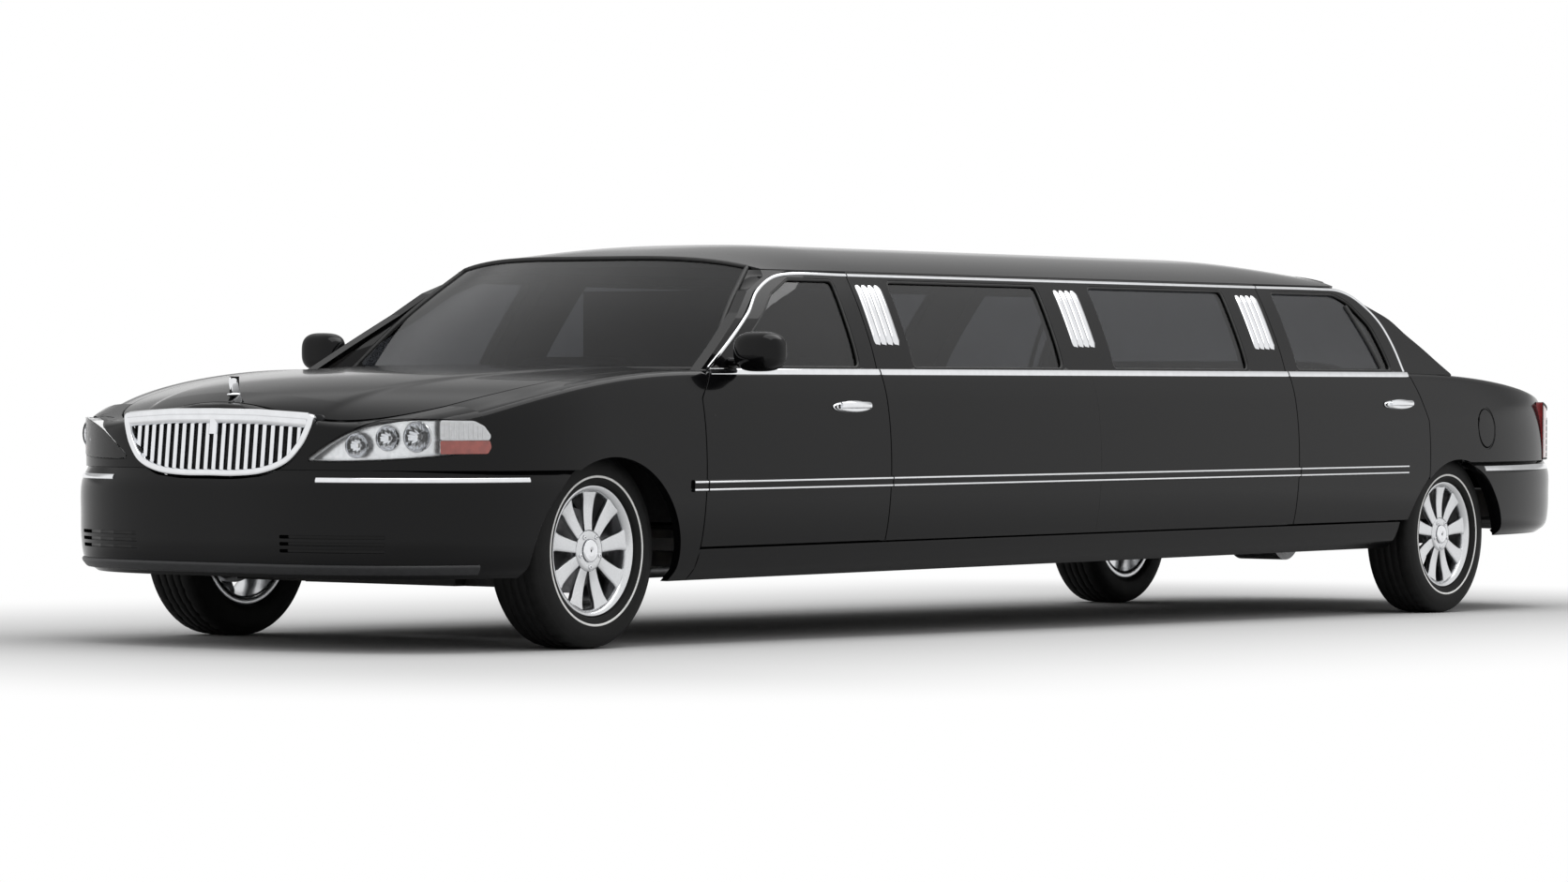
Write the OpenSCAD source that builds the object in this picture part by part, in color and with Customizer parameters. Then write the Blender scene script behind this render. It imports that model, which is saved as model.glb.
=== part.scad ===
// Stretched limousine with opening doors, hood, trunk and turning wheels.
// Millimetres. X points forward, Y to the car's left, Z up.
// The origin lies on the ground under the middle of the car.

/* [Overall] */
// Length over both bumpers
overall_l = 8518; // [7800:1:9500]
// Front axle to the face of the front bumper
front_overhang = 1020; // [960:1:1080]
// Rear axle to the face of the rear bumper
rear_overhang = 1460; // [1380:1:1540]
// Width over the doors
body_w = 1990; // [1900:1:2080]
// Rise of the body between the axles
rake_rise = 70; // [20:1:90]
// Height of the roof's centre line
roof_z = 1462; // [1420:1:1520]

/* [Body side] */
// Lower edge of the sills
sill_z = 226; // [200:1:250]
// Crease between sill and doors
crease_z = 345; // [325:1:365]
// Widest line of the side
mould_z = 590; // [560:1:620]
// Belt line under the windows
belt_z = 975; // [950:1:1000]
// Roof rail over the side windows
drip_z = 1352; // [1320:1:1380]
// Thickness of a whole door
door_t = 110; // [95:1:130]
// Thickness of window frames and pillars
frame_t = 45; // [38:1:55]
// Thickness of hood, fenders, roof and trunk lid
lid_t = 30; // [24:1:36]
// Gap between panels
shut_gap = 7; // [6:0.5:9]

/* [Doors] */
// Front axle to the front door's leading cut
front_door_x = 535; // [515:1:560]
// Length of the front door at the belt
front_door_l = 1150; // [1080:1:1220]
// Rear axle to the rear door's leading cut
rear_door_x = 1373; // [1320:1:1430]
// Length of the rear door at the belt
rear_door_l = 1010; // [960:1:1050]
// Backward lean of the door cuts from belt to roof
cut_lean = 75; // [40:1:100]

/* [Wheels] */
// Outer radius of a tyre
tyre_r = 345; // [330:1:352]
// Width of a tyre
tyre_w = 225; // [205:1:235]
// Radius of the rim's flange
rim_r = 232; // [220:1:240]
// Spokes in a wheel
spokes = 9; // [7:1:11]
// Track of the front wheels
front_track = 1610; // [1580:1:1630]
// Track of the rear wheels
rear_track = 1650; // [1620:1:1660]
// Radius of the wheel arches
arch_r = 430; // [415:1:445]

/* [Nose] */
// Half width of the grille at its top
grille_half_w = 440; // [400:1:460]
// Top edge of the grille
grille_top_z = 840; // [830:1:846]
// Lower edge of the grille
grille_low_z = 606; // [596:1:620]
// Upright bars in the grille
grille_bars = 24; // [16:2:30]
// Top edge of the bumpers
bumper_top_z = 632; // [625:1:640]

/* [Hidden] */

// Datum planes
half_w = body_w / 2;
wheelbase = overall_l - front_overhang - rear_overhang;
fa = overall_l / 2 - front_overhang;
ra = fa - wheelbase;
rake_deg = asin(rake_rise / wheelbase);
rake_z = 455;
hub_z = tyre_r;
hub_zr = hub_z - rake_rise;
over = 10;
seat_gap = 0.3;
fine = 48;

function fx(d) = fa - d;
function rx(d) = ra + d;
function mix(a, b, t) = a + (b - a) * t;
function clamp(t) = min(1, max(0, t));

// The body stands on the wheels with a small rise to the rear
module raked() {
  translate([fa, 0, rake_z])
    rotate([0, rake_deg, 0])
      translate([-fa, 0, -rake_z])
        children();
}

// Both sides of a left-hand piece
module both_sides() {
  children();
  mirror([0, 1, 0]) children();
}

// Outline in X and Z pushed along Y
module side_prism(y0, y1) {
  translate([0, y1, 0]) rotate([90, 0, 0]) linear_extrude(y1 - y0) children();
}

// Outline in Y and Z pushed along X
module cross_prism(x0, x1) {
  translate([x0, 0, 0]) rotate([90, 0, 90]) linear_extrude(x1 - x0) children();
}

// Box between two corners
module block(p, q) {
  translate(p) cube(q - p);
}

// Closed skin between an outer and an inner grid of points, both given row by row
module skin(outer, inner) {
  rows = len(outer);
  cols = len(outer[0]);
  n = rows * cols;
  pts = concat([for (r = outer) for (p = r) p], [for (r = inner) for (p = r) p]);
  top = [for (i = [0 : rows - 2]) for (j = [0 : cols - 2])
    let (a = i * cols + j) each [[a, a + 1, a + cols + 1], [a, a + cols + 1, a + cols]]];
  low = [for (f = top) [f[2] + n, f[1] + n, f[0] + n]];
  rim = concat([for (j = [0 : cols - 1]) j],
    [for (i = [1 : rows - 1]) i * cols + cols - 1],
    [for (j = [cols - 2 : -1 : 0]) (rows - 1) * cols + j],
    [for (i = [rows - 2 : -1 : 1]) i * cols]);
  m = len(rim);
  edge = [for (k = [0 : m - 1])
    let (a = rim[k], b = rim[(k + 1) % m]) each [[b, a, a + n], [b, a + n, b + n]]];
  faces = concat(top, low, edge);
  // Faces are turned so that they all look outward
  turn = [for (f = faces) pts[f[0]] * cross(pts[f[1]], pts[f[2]])] * [for (f = faces) 1];
  polyhedron(pts, turn > 0 ? [for (f = faces) [f[2], f[1], f[0]]] : faces);
}

// Body surface
// Side shares: height from sill to belt, narrowing of the half width
side_shares = [
  [0, 0.100], [0.06, 0.058], [0.157, 0.030], [0.30, 0.010], [0.486, 0.000],
  [0.68, 0.004], [0.84, 0.018], [0.94, 0.036], [1.0, 0.058]
];
// Window shares: height from belt to roof rail, narrowing of the half width
glass_shares = [[0.02, 0.070], [0.26, 0.110], [0.51, 0.160], [0.76, 0.215], [1.0, 0.275]];
// Front edge of the side windows: share of its run, share of the window height
a_shares = [[0, 0], [0.47, 0.56], [0.62, 0.775], [0.81, 0.925], [1.0, 1.0]];
// Rear edge of the rear door over the belt: share of its run, share of the window height
c_shares = [[1.0, 1.0], [0.60, 0.95], [0.31, 0.84], [0.06, 0.56], [0, 0]];
a_base = 620;
a_run = 790;
c_run = 375;
win_h = drip_z - belt_z;
nose_inset = 35;
nose_l = front_overhang - nose_inset;
tail_inset = 30;
tail_l = rear_overhang - tail_inset;
front_pow = 2.6;
side_pow = 3.3;
rear_pow = 3.2;
crest_share = 0.942;
hood_share = 0.86;
fender_drop = 286;
fender_back = 600;
fender_pow = 2.2;
hood_rise = 27;
hood_z = belt_z + hood_rise;
hood_back = 850;
hood_fall = 60;
hood_droop = 84;
crown_pow = 2.2;
droop_pow = 6;
tail_drop = 185;
tail_start = 340;
deck_crown = 24;

// Half width of the body along X, for a nose and a tail of given length
function front_w(x, l) = half_w * pow(1 - pow(clamp((x - fa) / l), front_pow), 1 / side_pow);
function rear_w(x, l) = half_w * pow(1 - pow(clamp((ra - x) / l), rear_pow), 1 / rear_pow);
function plan_w(x) = x > 0 ? front_w(x, nose_l) : rear_w(x, tail_l);

// Height of the shoulder and of the centre line along X
function front_t(x) = clamp((x - fx(fender_back)) / (fender_back + nose_l));
function rear_t(x) = clamp((rx(tail_start) - x) / (tail_start + rear_overhang));
function crest_z(x) = belt_z - fender_drop * pow(front_t(x), fender_pow)
  - tail_drop * pow(rear_t(x), 2);
function hood_t(x) = clamp((x - fx(hood_back)) / (hood_back + nose_l - nose_inset));
function centre_z(x) = x > 0
  ? hood_z - hood_fall * hood_t(x) - hood_droop * pow(hood_t(x), droop_pow)
  : crest_z(x) + deck_crown;
function crest_y(x) = plan_w(x) * crest_share;
function top_z(x, y) = crest_z(x)
  + (centre_z(x) - crest_z(x)) * (1 - pow(min(1, abs(y) / crest_y(x)), crown_pow));

// Side heights close up under a falling shoulder
function side_z(x, s) = let (z = mix(sill_z, belt_z, s))
  z < mould_z ? z : mould_z + (z - mould_z) * (crest_z(x) - mould_z) / (belt_z - mould_z);
function side_pts(x) = [for (s = side_shares) [x, plan_w(x) * (1 - s[1]), side_z(x, s[0])]];
function top_pt(x, share) = let (y = crest_y(x) * share) [x, y, top_z(x, y)];

// Half section of a wing: side, shoulder and a strip of the top
function wing_outer(x) = concat(side_pts(x), [top_pt(x, 0.94), top_pt(x, hood_share)]);
function wing_inner(x) = let (o = wing_outer(x), m = len(side_shares))
  [for (i = [0 : len(o) - 1]) i < m - 2
    ? o[i] - [0, lid_t, 0]
    : i < m ? o[i] - [0, lid_t, lid_t * (i - m + 3) / 3] : o[i] - [0, 0, lid_t]];

// Section of the side wall with its window frame
roof_seat_z = drip_z + shut_gap / 2;
frame_pts = concat([for (s = glass_shares) [half_w * (1 - s[1]), belt_z + s[0] * win_h]],
  [[half_w * (1 - glass_shares[4][1]), roof_seat_z - seat_gap]]);
wall_in_y = half_w - door_t;
floor_gap = 24;
floor_y = wall_in_y - floor_gap;
wall_section = concat(
  [[half_w * (1 - side_shares[2][1]), crease_z]],
  [for (i = [3 : len(side_shares) - 1])
    [half_w * (1 - side_shares[i][1]), mix(sill_z, belt_z, side_shares[i][0])]],
  frame_pts,
  [for (i = [len(frame_pts) - 1 : -1 : 0]) frame_pts[i] - [frame_t, 0]],
  [[wall_in_y, belt_z - frame_t], [wall_in_y, crease_z]]);
pillar_section = concat([[frame_pts[0][0], belt_z - lid_t / 2]], frame_pts,
  [for (i = [len(frame_pts) - 1 : -1 : 0]) frame_pts[i] - [frame_t, 0]],
  [[frame_pts[0][0] - frame_t, belt_z - lid_t / 2]]);
sill_section = concat(
  [for (i = [0 : 1]) [half_w * (1 - side_shares[i][1]), mix(sill_z, belt_z, side_shares[i][0])]],
  [[half_w * (1 - side_shares[2][1]), crease_z - shut_gap],
   [floor_y + seat_gap, crease_z - shut_gap], [floor_y + seat_gap, sill_z]]);
function frame_y(z) = lookup(z, [for (p = frame_pts) [p[1], p[0]]]);

// Door cuts
front_cut = fx(front_door_x);
b_cut = fx(front_door_x + front_door_l);
d_cut = rx(rear_door_x);
c_cut = rx(rear_door_x - rear_door_l);
hip_out = 105;
hip_z = 775;
kink_z = 880;
function lean(x, z) = x - cut_lean * max(0, z - belt_z) / win_h;
a_edge = [for (s = a_shares) [fx(a_base + s[0] * a_run), belt_z + s[1] * win_h]];
c_edge = [for (s = c_shares) [c_cut + s[0] * c_run, belt_z + s[1] * win_h]];
front_door_outline = concat([[front_cut, crease_z], [front_cut, kink_z]], a_edge,
  [[lean(b_cut, drip_z), drip_z], [b_cut, belt_z], [b_cut, crease_z]]);
rear_door_outline = concat([[d_cut, crease_z], [d_cut, belt_z], [lean(d_cut, drip_z), drip_z]],
  c_edge, [[c_cut - hip_out, hip_z], [c_cut - hip_out, crease_z]]);
centre_top = drip_z + shut_gap * 2;
centre_outline = [[b_cut, crease_z], [b_cut, belt_z], [lean(b_cut, centre_top), centre_top],
  [lean(d_cut, centre_top), centre_top], [d_cut, belt_z], [d_cut, crease_z]];
c_pillar_foot = 460;
c_pillar_top = 40;
c_pillar_root = 40;
// Rear edge of the pillar behind the rear door: share of its run, share of the window height
sail_shares = [[0.72, 0.965], [0.42, 0.875], [0.115, 0.76], [-0.176, 0.637], [-0.379, 0.477],
  [-0.60, 0.331], [-0.853, 0.159], [-1.067, 0.027]];
c_pillar_outline = concat([for (i = [len(c_edge) - 1 : -1 : 0]) c_edge[i]],
  [[c_cut + c_run, centre_top], [c_cut + c_run - c_pillar_top, centre_top]],
  [for (s = sail_shares) [c_cut + s[0] * c_run, belt_z + s[1] * win_h]],
  [[c_cut - c_pillar_foot, belt_z - c_pillar_root], [c_cut, belt_z - c_pillar_root]]);

// Window outlines, each inside its panel by a border
win_border = 26;
b_border = 100;
sill_border = 14;
win_low = belt_z + sill_border;
win_top = drip_z - win_border;
front_win = concat([for (p = a_edge) p - [b_border, 0]],
  [[lean(b_cut, drip_z) + b_border, drip_z], [b_cut + b_border, belt_z]]);
rear_win = concat([[d_cut - b_border, belt_z], [lean(d_cut, drip_z) - b_border, drip_z]],
  [for (p = c_edge) p + [b_border, 0]]);
// Centre windows: shares of the centre panel's length, front and rear edge
centre_wins = [[0.082, 0.433], [0.554, 0.904]];
centre_l = b_cut - d_cut;
function centre_win(w) = [[b_cut - w[0] * centre_l, belt_z],
  [lean(b_cut - w[0] * centre_l, drip_z), drip_z],
  [lean(b_cut - w[1] * centre_l, drip_z), drip_z], [b_cut - w[1] * centre_l, belt_z]];
corner_r = 30;

// A window's outline between the belt and the roof rail, with rounded corners
module win_2d(pts, grow) {
  offset(delta = grow) offset(r = corner_r, $fn = 12) offset(delta = -corner_r)
    intersection() {
      polygon(pts);
      translate([-overall_l, win_low]) square([2 * overall_l, win_top - win_low]);
    }
}

// Wheel arch openings through a side
arch_drop = 100;
module arch_cut(x, z, y0, y1, r) {
  translate([x, y1, z - arch_drop]) rotate([90, 0, 0]) cylinder(r = r, h = y1 - y0, $fn = 72);
}

// Side wall between two X planes, cut to an outline
module wall(x0, x1, outline, grow) {
  intersection() {
    cross_prism(x0, x1) polygon(wall_section);
    side_prism(0, half_w + over) offset(delta = grow) polygon(outline);
  }
}

// Pane on the window surface, cut to an outline
pane_t = 8;
pane_in = 12;
module pane(x0, x1, pts) {
  intersection() {
    cross_prism(x0, x1) polygon(concat([for (p = frame_pts) p - [pane_in, 0]],
      [for (i = [len(frame_pts) - 1 : -1 : 0]) frame_pts[i] - [pane_in + pane_t, 0]]));
    side_prism(0, half_w) win_2d(pts, -seat_gap);
  }
}

// Plan curve of nose or tail: point at an angle from the centre line, for an inset
function bow(a, l, inset, p, q) = let (y = (half_w - inset) * pow(abs(sin(a)), 2 / q) * sign(a))
  [(l - inset) * pow(abs(cos(a)), 2 / p), y];
function front_bow(a, l, inset) = let (b = bow(a, l, inset, front_pow, side_pow)) [fa + b[0], b[1]];
function rear_bow(a, l, inset) = let (b = bow(a, l, inset, rear_pow, rear_pow)) [ra - b[0], b[1]];

// Nose and tail
// Bumper shares: height over the bumper, inset as a share of its thickness
bumper_t = 60;
front_bumper_low = 262;
rear_bumper_low = 262;
rear_bumper_drop = 40;
rear_bumper_top = bumper_top_z - rear_bumper_drop;
bumper_shares = [[0, 0.9], [0.10, 0.25], [0.28, 0.04], [0.55, 0], [0.84, 0.03], [1.0, 0.4]];
bumper_steps = 30;
front_bumper_end = 86;
rear_bumper_end = 89.3;
module front_bumper_skin() {
  skin(
    [for (s = bumper_shares) [for (i = [0 : bumper_steps])
      let (b = front_bow(mix(front_bumper_end, -front_bumper_end, i / bumper_steps),
        front_overhang, s[1] * bumper_t))
        [b[0], b[1], mix(front_bumper_low, bumper_top_z, s[0])]]],
    [for (s = bumper_shares) [for (i = [0 : bumper_steps])
      let (b = front_bow(mix(front_bumper_end, -front_bumper_end, i / bumper_steps),
        front_overhang, bumper_t))
        [b[0], b[1], mix(front_bumper_low, bumper_top_z, s[0])]]]);
}
module rear_bumper_skin() {
  skin(
    [for (s = bumper_shares) [for (i = [0 : bumper_steps])
      let (b = rear_bow(mix(-rear_bumper_end, rear_bumper_end, i / bumper_steps),
        rear_overhang, s[1] * bumper_t))
        [b[0], b[1], mix(rear_bumper_low, rear_bumper_top, s[0])]]],
    [for (s = bumper_shares) [for (i = [0 : bumper_steps])
      let (b = rear_bow(mix(-rear_bumper_end, rear_bumper_end, i / bumper_steps),
        rear_overhang, bumper_t))
        [b[0], b[1], mix(rear_bumper_low, rear_bumper_top, s[0])]]]);
}

// Grille shield: share of half width, share of height, from the top middle round
shield_shares = [[0, 1.0], [0.45, 0.99], [0.80, 0.955], [1.0, 0.93], [0.97, 0.72], [0.90, 0.45],
  [0.77, 0.20], [0.55, 0.05], [0.28, 0.0], [0, 0.0]];
shield_h = grille_top_z - grille_low_z;
shield_half = [for (s = shield_shares) [s[0] * grille_half_w, grille_low_z + s[1] * shield_h]];
shield = concat(shield_half,
  [for (i = [len(shield_half) - 2 : -1 : 1]) [-shield_half[i][0], shield_half[i][1]]]);
grille_rim = 24;
grille_depth = 70;
grille_proud = 10;
bar_w = 9;
bar_deep = 26;

// Vertical prism under a plan curve of the nose
module nose_prism(l, z0, z1) {
  translate([0, 0, z0]) linear_extrude(z1 - z0)
    polygon(concat([for (i = [0 : bumper_steps])
      front_bow(mix(90, -90, i / bumper_steps), l, 0)]));
}

// Headlamp: share of its sweep, lower and upper edge as shares of its height
lamp_shares = [[0, 0.02, 0.10], [0.10, 0.0, 0.42], [0.24, 0.01, 0.74], [0.42, 0.04, 0.92],
  [0.62, 0.09, 1.0], [0.82, 0.16, 0.99], [0.95, 0.28, 0.90], [1.0, 0.42, 0.76]];
lamp_low_z = 662;
lamp_top_z = 806;
lamp_in = 14;
lamp_out = 57;
lamp_t = 52;
lamp_lift = 2;
lamp_cut = 1;
module lamp(grow, back) {
  skin(
    [for (k = [1 : -0.5 : 0]) [for (s = lamp_shares)
      let (b = front_bow(mix(lamp_in, lamp_out, s[0]), nose_l, -lamp_lift - grow * 4),
        z = mix(lamp_low_z, lamp_top_z, mix(s[1], s[2], k)) + grow * (2 * k - 1))
        [b[0], b[1], z]]],
    [for (k = [1 : -0.5 : 0]) [for (s = lamp_shares)
      let (b = front_bow(mix(lamp_in, lamp_out, s[0]), nose_l, back),
        z = mix(lamp_low_z, lamp_top_z, mix(s[1], s[2], k)) + grow * (2 * k - 1))
        [b[0], b[1], z]]]);
}

// Rows of the nose panel: share of height, inset in plan, drop of the inner face
nose_rows = [[0, 0, 0], [0.45, 0, 0], [0.84, 0.10, 0.2], [0.97, 0.5, 0.8], [1.0, 1.0, 1.0]];
nose_strip = 46;
nose_t = 62;
nose_end = 63;
nose_steps = 22;
nose_low_z = bumper_top_z + seat_gap;
hood_tip_share = 0.824;
function hood_bow(a) = let (b = front_bow(a, nose_l - nose_strip, 0)) [b[0], b[1] * hood_tip_share];
function nose_top(a) = let (b = hood_bow(a)) top_z(b[0], b[1]);
module nose_skin() {
  skin(
    [for (r = nose_rows) [for (i = [0 : nose_steps])
      let (a = mix(nose_end, -nose_end, i / nose_steps),
        b = mix(front_bow(a, nose_l, 0), hood_bow(a), r[1]))
        [b[0], b[1], mix(nose_low_z, nose_top(a), r[0])]]],
    [for (r = nose_rows) [for (i = [0 : nose_steps])
      let (a = mix(nose_end, -nose_end, i / nose_steps),
        b = mix(front_bow(a, nose_l, nose_t), hood_bow(a), r[2]))
        [b[0], b[1], mix(nose_low_z, nose_top(a), r[0]) - r[2] * lid_t]]]);
}

// Bare piece colours
paint = [0.06, 0.06, 0.07];
chrome = [0.80, 0.81, 0.83];
tint = [0.22, 0.23, 0.25];
dark = [0.12, 0.12, 0.13];
steel = [0.40, 0.41, 0.43];
leather = [0.16, 0.15, 0.15];

// Frame and floor
rail_share = 0.43216;
rail_y = half_w * rail_share;
rail_w = 80;
rail_h = 110;
rail_z = 262;
bumper_seat = 3;
rail_out = rail_y + rail_w / 2;
rail_front = (front_overhang - bumper_t) * pow(1 - pow(rail_out / (half_w - bumper_t), side_pow),
  1 / front_pow) - bumper_seat;
rail_rear = (rear_overhang - bumper_t) * pow(1 - pow(rail_out / (half_w - bumper_t), rear_pow),
  1 / rear_pow) - bumper_seat;
kick = 170;
end_rise = 60;
kick_run = 520;
kick_hold = 330;
rear_kick_run = 390;
rear_kick_hold = 200;
cross_w = 90;
// Crossmembers: share of the length between the axles
cross_shares = [0.14, 0.34, 0.54, 0.74];
bore_r = 25;
bore_share = 0.24;
jack_x = 900;
jack_l = 100;
jack_w = 60;
jack_t = 10;
rail_side = [[fa + rail_front, rail_z + end_rise], [fa + rail_front, rail_z + end_rise + rail_h],
  [fx(kick_hold), rail_z + end_rise + rail_h], [fx(kick_run), rail_z + rail_h],
  [rx(rear_kick_run), rail_z + rail_h], [rx(rear_kick_hold), rail_z + rail_h + kick],
  [rx(-kick_hold), rail_z + rail_h + kick], [rx(-kick_run), rail_z + rail_h + end_rise],
  [ra - rail_rear, rail_z + rail_h + end_rise], [ra - rail_rear, rail_z + end_rise],
  [rx(-kick_run), rail_z + end_rise], [rx(-kick_hold), rail_z + kick], [rx(rear_kick_hold), rail_z + kick],
  [rx(rear_kick_run), rail_z], [fx(kick_run), rail_z], [fx(kick_hold), rail_z + end_rise]];
module frame_rails() {
  color(dark) raked() difference() {
    union() {
      for (y = [rail_y, -rail_y])
        side_prism(y - rail_w / 2, y + rail_w / 2) polygon(rail_side);
      for (s = cross_shares)
        both_sides() block([fx(s * wheelbase) - cross_w / 2, tunnel_y + over, rail_z],
          [fx(s * wheelbase) + cross_w / 2, floor_y - rocker_w - seat_gap, rail_z + rail_h / 2]);
      block([ra - rail_rear, -rail_y, rail_z + end_rise],
        [ra - rail_rear + cross_w, rail_y, rail_z + end_rise + rail_h]);
      for (x = [fx(jack_x), rx(jack_x)]) for (y = [rail_y, -rail_y])
        block([x - jack_l / 2, y - jack_w / 2, rail_z - jack_t], [x + jack_l / 2, y + jack_w / 2, rail_z + over]);
    }
    for (s = [bore_share, 1 - bore_share]) for (y = [rail_y, -rail_y])
      translate([fx(s * wheelbase), y, rail_z - over])
        cylinder(r = bore_r, h = rail_h + 2 * over, $fn = fine);
  }
}

floor_z = rail_z + rail_h + seat_gap;
floor_t = 30;
floor_front = 640;
floor_rear = 395;
rocker_w = 40;
tunnel_y = 130;
tunnel_h = 130;
tunnel_in = 24;
floor_top = floor_z + floor_t;
floor_half = [[floor_y, sill_z + over], [floor_y, floor_top],
  [tunnel_y, floor_top], [tunnel_y - tunnel_in, floor_top + tunnel_h]];
floor_under = [[tunnel_y - 2 * tunnel_in, floor_top + tunnel_h - floor_t], [tunnel_y - tunnel_in, floor_z],
  [floor_y - rocker_w, floor_z], [floor_y - rocker_w, sill_z + over]];
function flip_y(l) = [for (i = [len(l) - 1 : -1 : 0]) [-l[i][0], l[i][1]]];
boot_front = 540;
boot_rear = 1285;
boot_share = 0.563;
boot_y = half_w * boot_share;
boot_t = 20;
boot_z = rail_z + end_rise + rail_h + seat_gap;
module floor_pan() {
  color(dark) raked() {
    cross_prism(rx(floor_rear), fx(floor_front))
      polygon(concat(floor_half, flip_y(floor_half), flip_y(floor_under), floor_under));
    block([rx(-boot_rear), -boot_y, boot_z], [rx(-boot_front), boot_y, boot_z + boot_t]);
  }
}
// Space over the tunnel that seats and walls leave free
module tunnel_space() {
  cross_prism(rx(-floor_rear), fx(floor_front)) offset(delta = seat_gap)
    polygon([[tunnel_y, 0], [tunnel_y, floor_top], [tunnel_y - tunnel_in, floor_top + tunnel_h],
      [tunnel_in - tunnel_y, floor_top + tunnel_h], [-tunnel_y, floor_top], [-tunnel_y, 0]]);
}

sill_front = front_door_x - shut_gap / 2 + seat_gap;
sill_rear = 470;
module sills() {
  color(paint) raked() both_sides()
    cross_prism(rx(sill_rear), fx(sill_front)) polygon(sill_section);
}

// Front end
fender_front = 600;
fender_cols = [0, 0.12, 0.24, 0.36, 0.47, 0.58, 0.69, 0.80, 0.90, 1.0];
module front_fenders() {
  x0 = fx(a_base) + shut_gap / 2;
  x1 = fa + fender_front - seat_gap;
  color(paint) raked() both_sides() difference() {
    skin([for (s = fender_cols) wing_outer(mix(x0, x1, s))],
      [for (s = fender_cols) wing_inner(mix(x0, x1, s))]);
    arch_cut(fa, hub_z, half_w - door_t - lid_t, half_w + over, arch_r);
    block([fa, 0, 0], [fa + nose_l, half_w + over, nose_low_z]);
    lamp(lamp_cut, nose_t + over);
    side_prism(floor_y, half_w + over) offset(delta = shut_gap / 2) polygon(front_door_outline);
    block([fx(a_base) - over, 0, 0], [front_cut + shut_gap / 2, half_w + over, kink_z]);
  }
}

module nose_panel() {
  color(paint) raked() difference() {
    nose_skin();
    block([fa, -half_w, 0], [fa + fender_front, half_w, hood_z]);
    both_sides() lamp(lamp_cut, nose_t + over);
    cross_prism(fa + nose_l - nose_strip - grille_depth - nose_t, fa + nose_l + over)
      offset(delta = seat_gap) polygon(shield);
  }
}

module grille() {
  x0 = fa + nose_l - nose_strip;
  x1 = fa + nose_l + grille_proud;
  pitch = 2 * grille_half_w / grille_bars;
  color(chrome) raked() {
    intersection() {
      cross_prism(x0, x1) difference() {
        polygon(shield);
        offset(delta = -grille_rim) polygon(shield);
      }
      nose_prism(nose_l + grille_proud, grille_low_z - over, grille_top_z + over);
    }
    intersection() {
      cross_prism(x0 + bar_deep / 2, x1 - grille_rim) intersection() {
        offset(delta = -grille_rim / 2) polygon(shield);
        for (i = [1 : grille_bars - 1])
          translate([-grille_half_w + i * pitch - bar_w / 2, grille_low_z])
            square([bar_w, shield_h]);
      }
      nose_prism(nose_l - bar_deep / 2, grille_low_z - over, grille_top_z + over);
    }
  }
}

module headlamps() {
  color(chrome) raked() both_sides() lamp(0, lamp_t);
}

// Bumper intakes: three slots a side over the chin
dip_gap = 8;
slots = 3;
slot_h = 14;
slot_pitch = 24;
slot_z = 350;
slot_in_share = 0.33;
slot_out_share = 0.70;
slot_deep = 26;
module intake_slots() {
  both_sides() for (i = [0 : slots - 1]) difference() {
    block([fa, half_w * slot_in_share, slot_z + i * slot_pitch],
      [fa + front_overhang + over, half_w * slot_out_share, slot_z + i * slot_pitch + slot_h]);
    nose_prism(front_overhang - slot_deep, 0, belt_z);
  }
}
module front_bumper() {
  color(paint) raked() difference() {
    front_bumper_skin();
    cross_prism(fa + nose_l - grille_depth - nose_t, fa + front_overhang + over)
      offset(delta = dip_gap) polygon(shield);
    both_sides() arch_cut(fa, hub_z, half_w / 2, half_w + over, arch_r);
    intake_slots();
  }
}

hood_rows = [0, 0.14, 0.30, 0.46, 0.62, 0.76, 0.88, 0.95, 1.0];
hood_cols = [1.0, 0.96, 0.90, 0.80, 0.66, 0.44, 0.22, 0];
hood_rear = 640;
hood_rear_bow = 125;
pin_r = 8;
pin_gap = 0.3;
lug_t = 20;
lug_r = 16;
hood_pin_x = 650;
hood_pin_share = 0.70352;
hood_pin_y = half_w * hood_pin_share;
hood_pin_drop = 45;
hood_pin_z = belt_z - hood_pin_drop;
lug_reach = 50;
lug_l = 40;
// Lug under a lid that reaches to its hinge pin, in front of it or behind
module lug(x, y, z, way, up) {
  difference() {
    union() {
      translate([x, y + lug_t, z]) rotate([90, 0, 0]) cylinder(r = lug_r, h = lug_t, $fn = fine);
      side_prism(y, y + lug_t) polygon([[x, z - lug_r], [x, z + lug_r], [x + way * lug_reach, z + up],
        [x + way * (lug_reach + lug_l), z + up], [x + way * (lug_reach + lug_l), z + up - lug_r]]);
    }
    translate([x, y + lug_t + over, z]) rotate([90, 0, 0])
      cylinder(r = pin_r + pin_gap, h = lug_t + 2 * over, $fn = fine);
  }
}
// Ear with a pin that carries a lug
module ear(x, y, z, down) {
  translate([x, y + 2 * lug_t + seat_gap, z]) rotate([90, 0, 0])
    cylinder(r = pin_r, h = 2 * lug_t, $fn = fine);
  translate([x, y + 2 * lug_t + seat_gap, z]) rotate([90, 0, 0])
    cylinder(r = lug_r, h = lug_t - 2 * seat_gap, $fn = fine);
  block([x - lug_r, y + lug_t + 3 * seat_gap, z - down],
    [x + lug_r, y + 2 * lug_t + seat_gap, z]);
}
blade_x = 135;
blade_l = 42;
blade_h = 66;
blade_t = 7;
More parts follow.
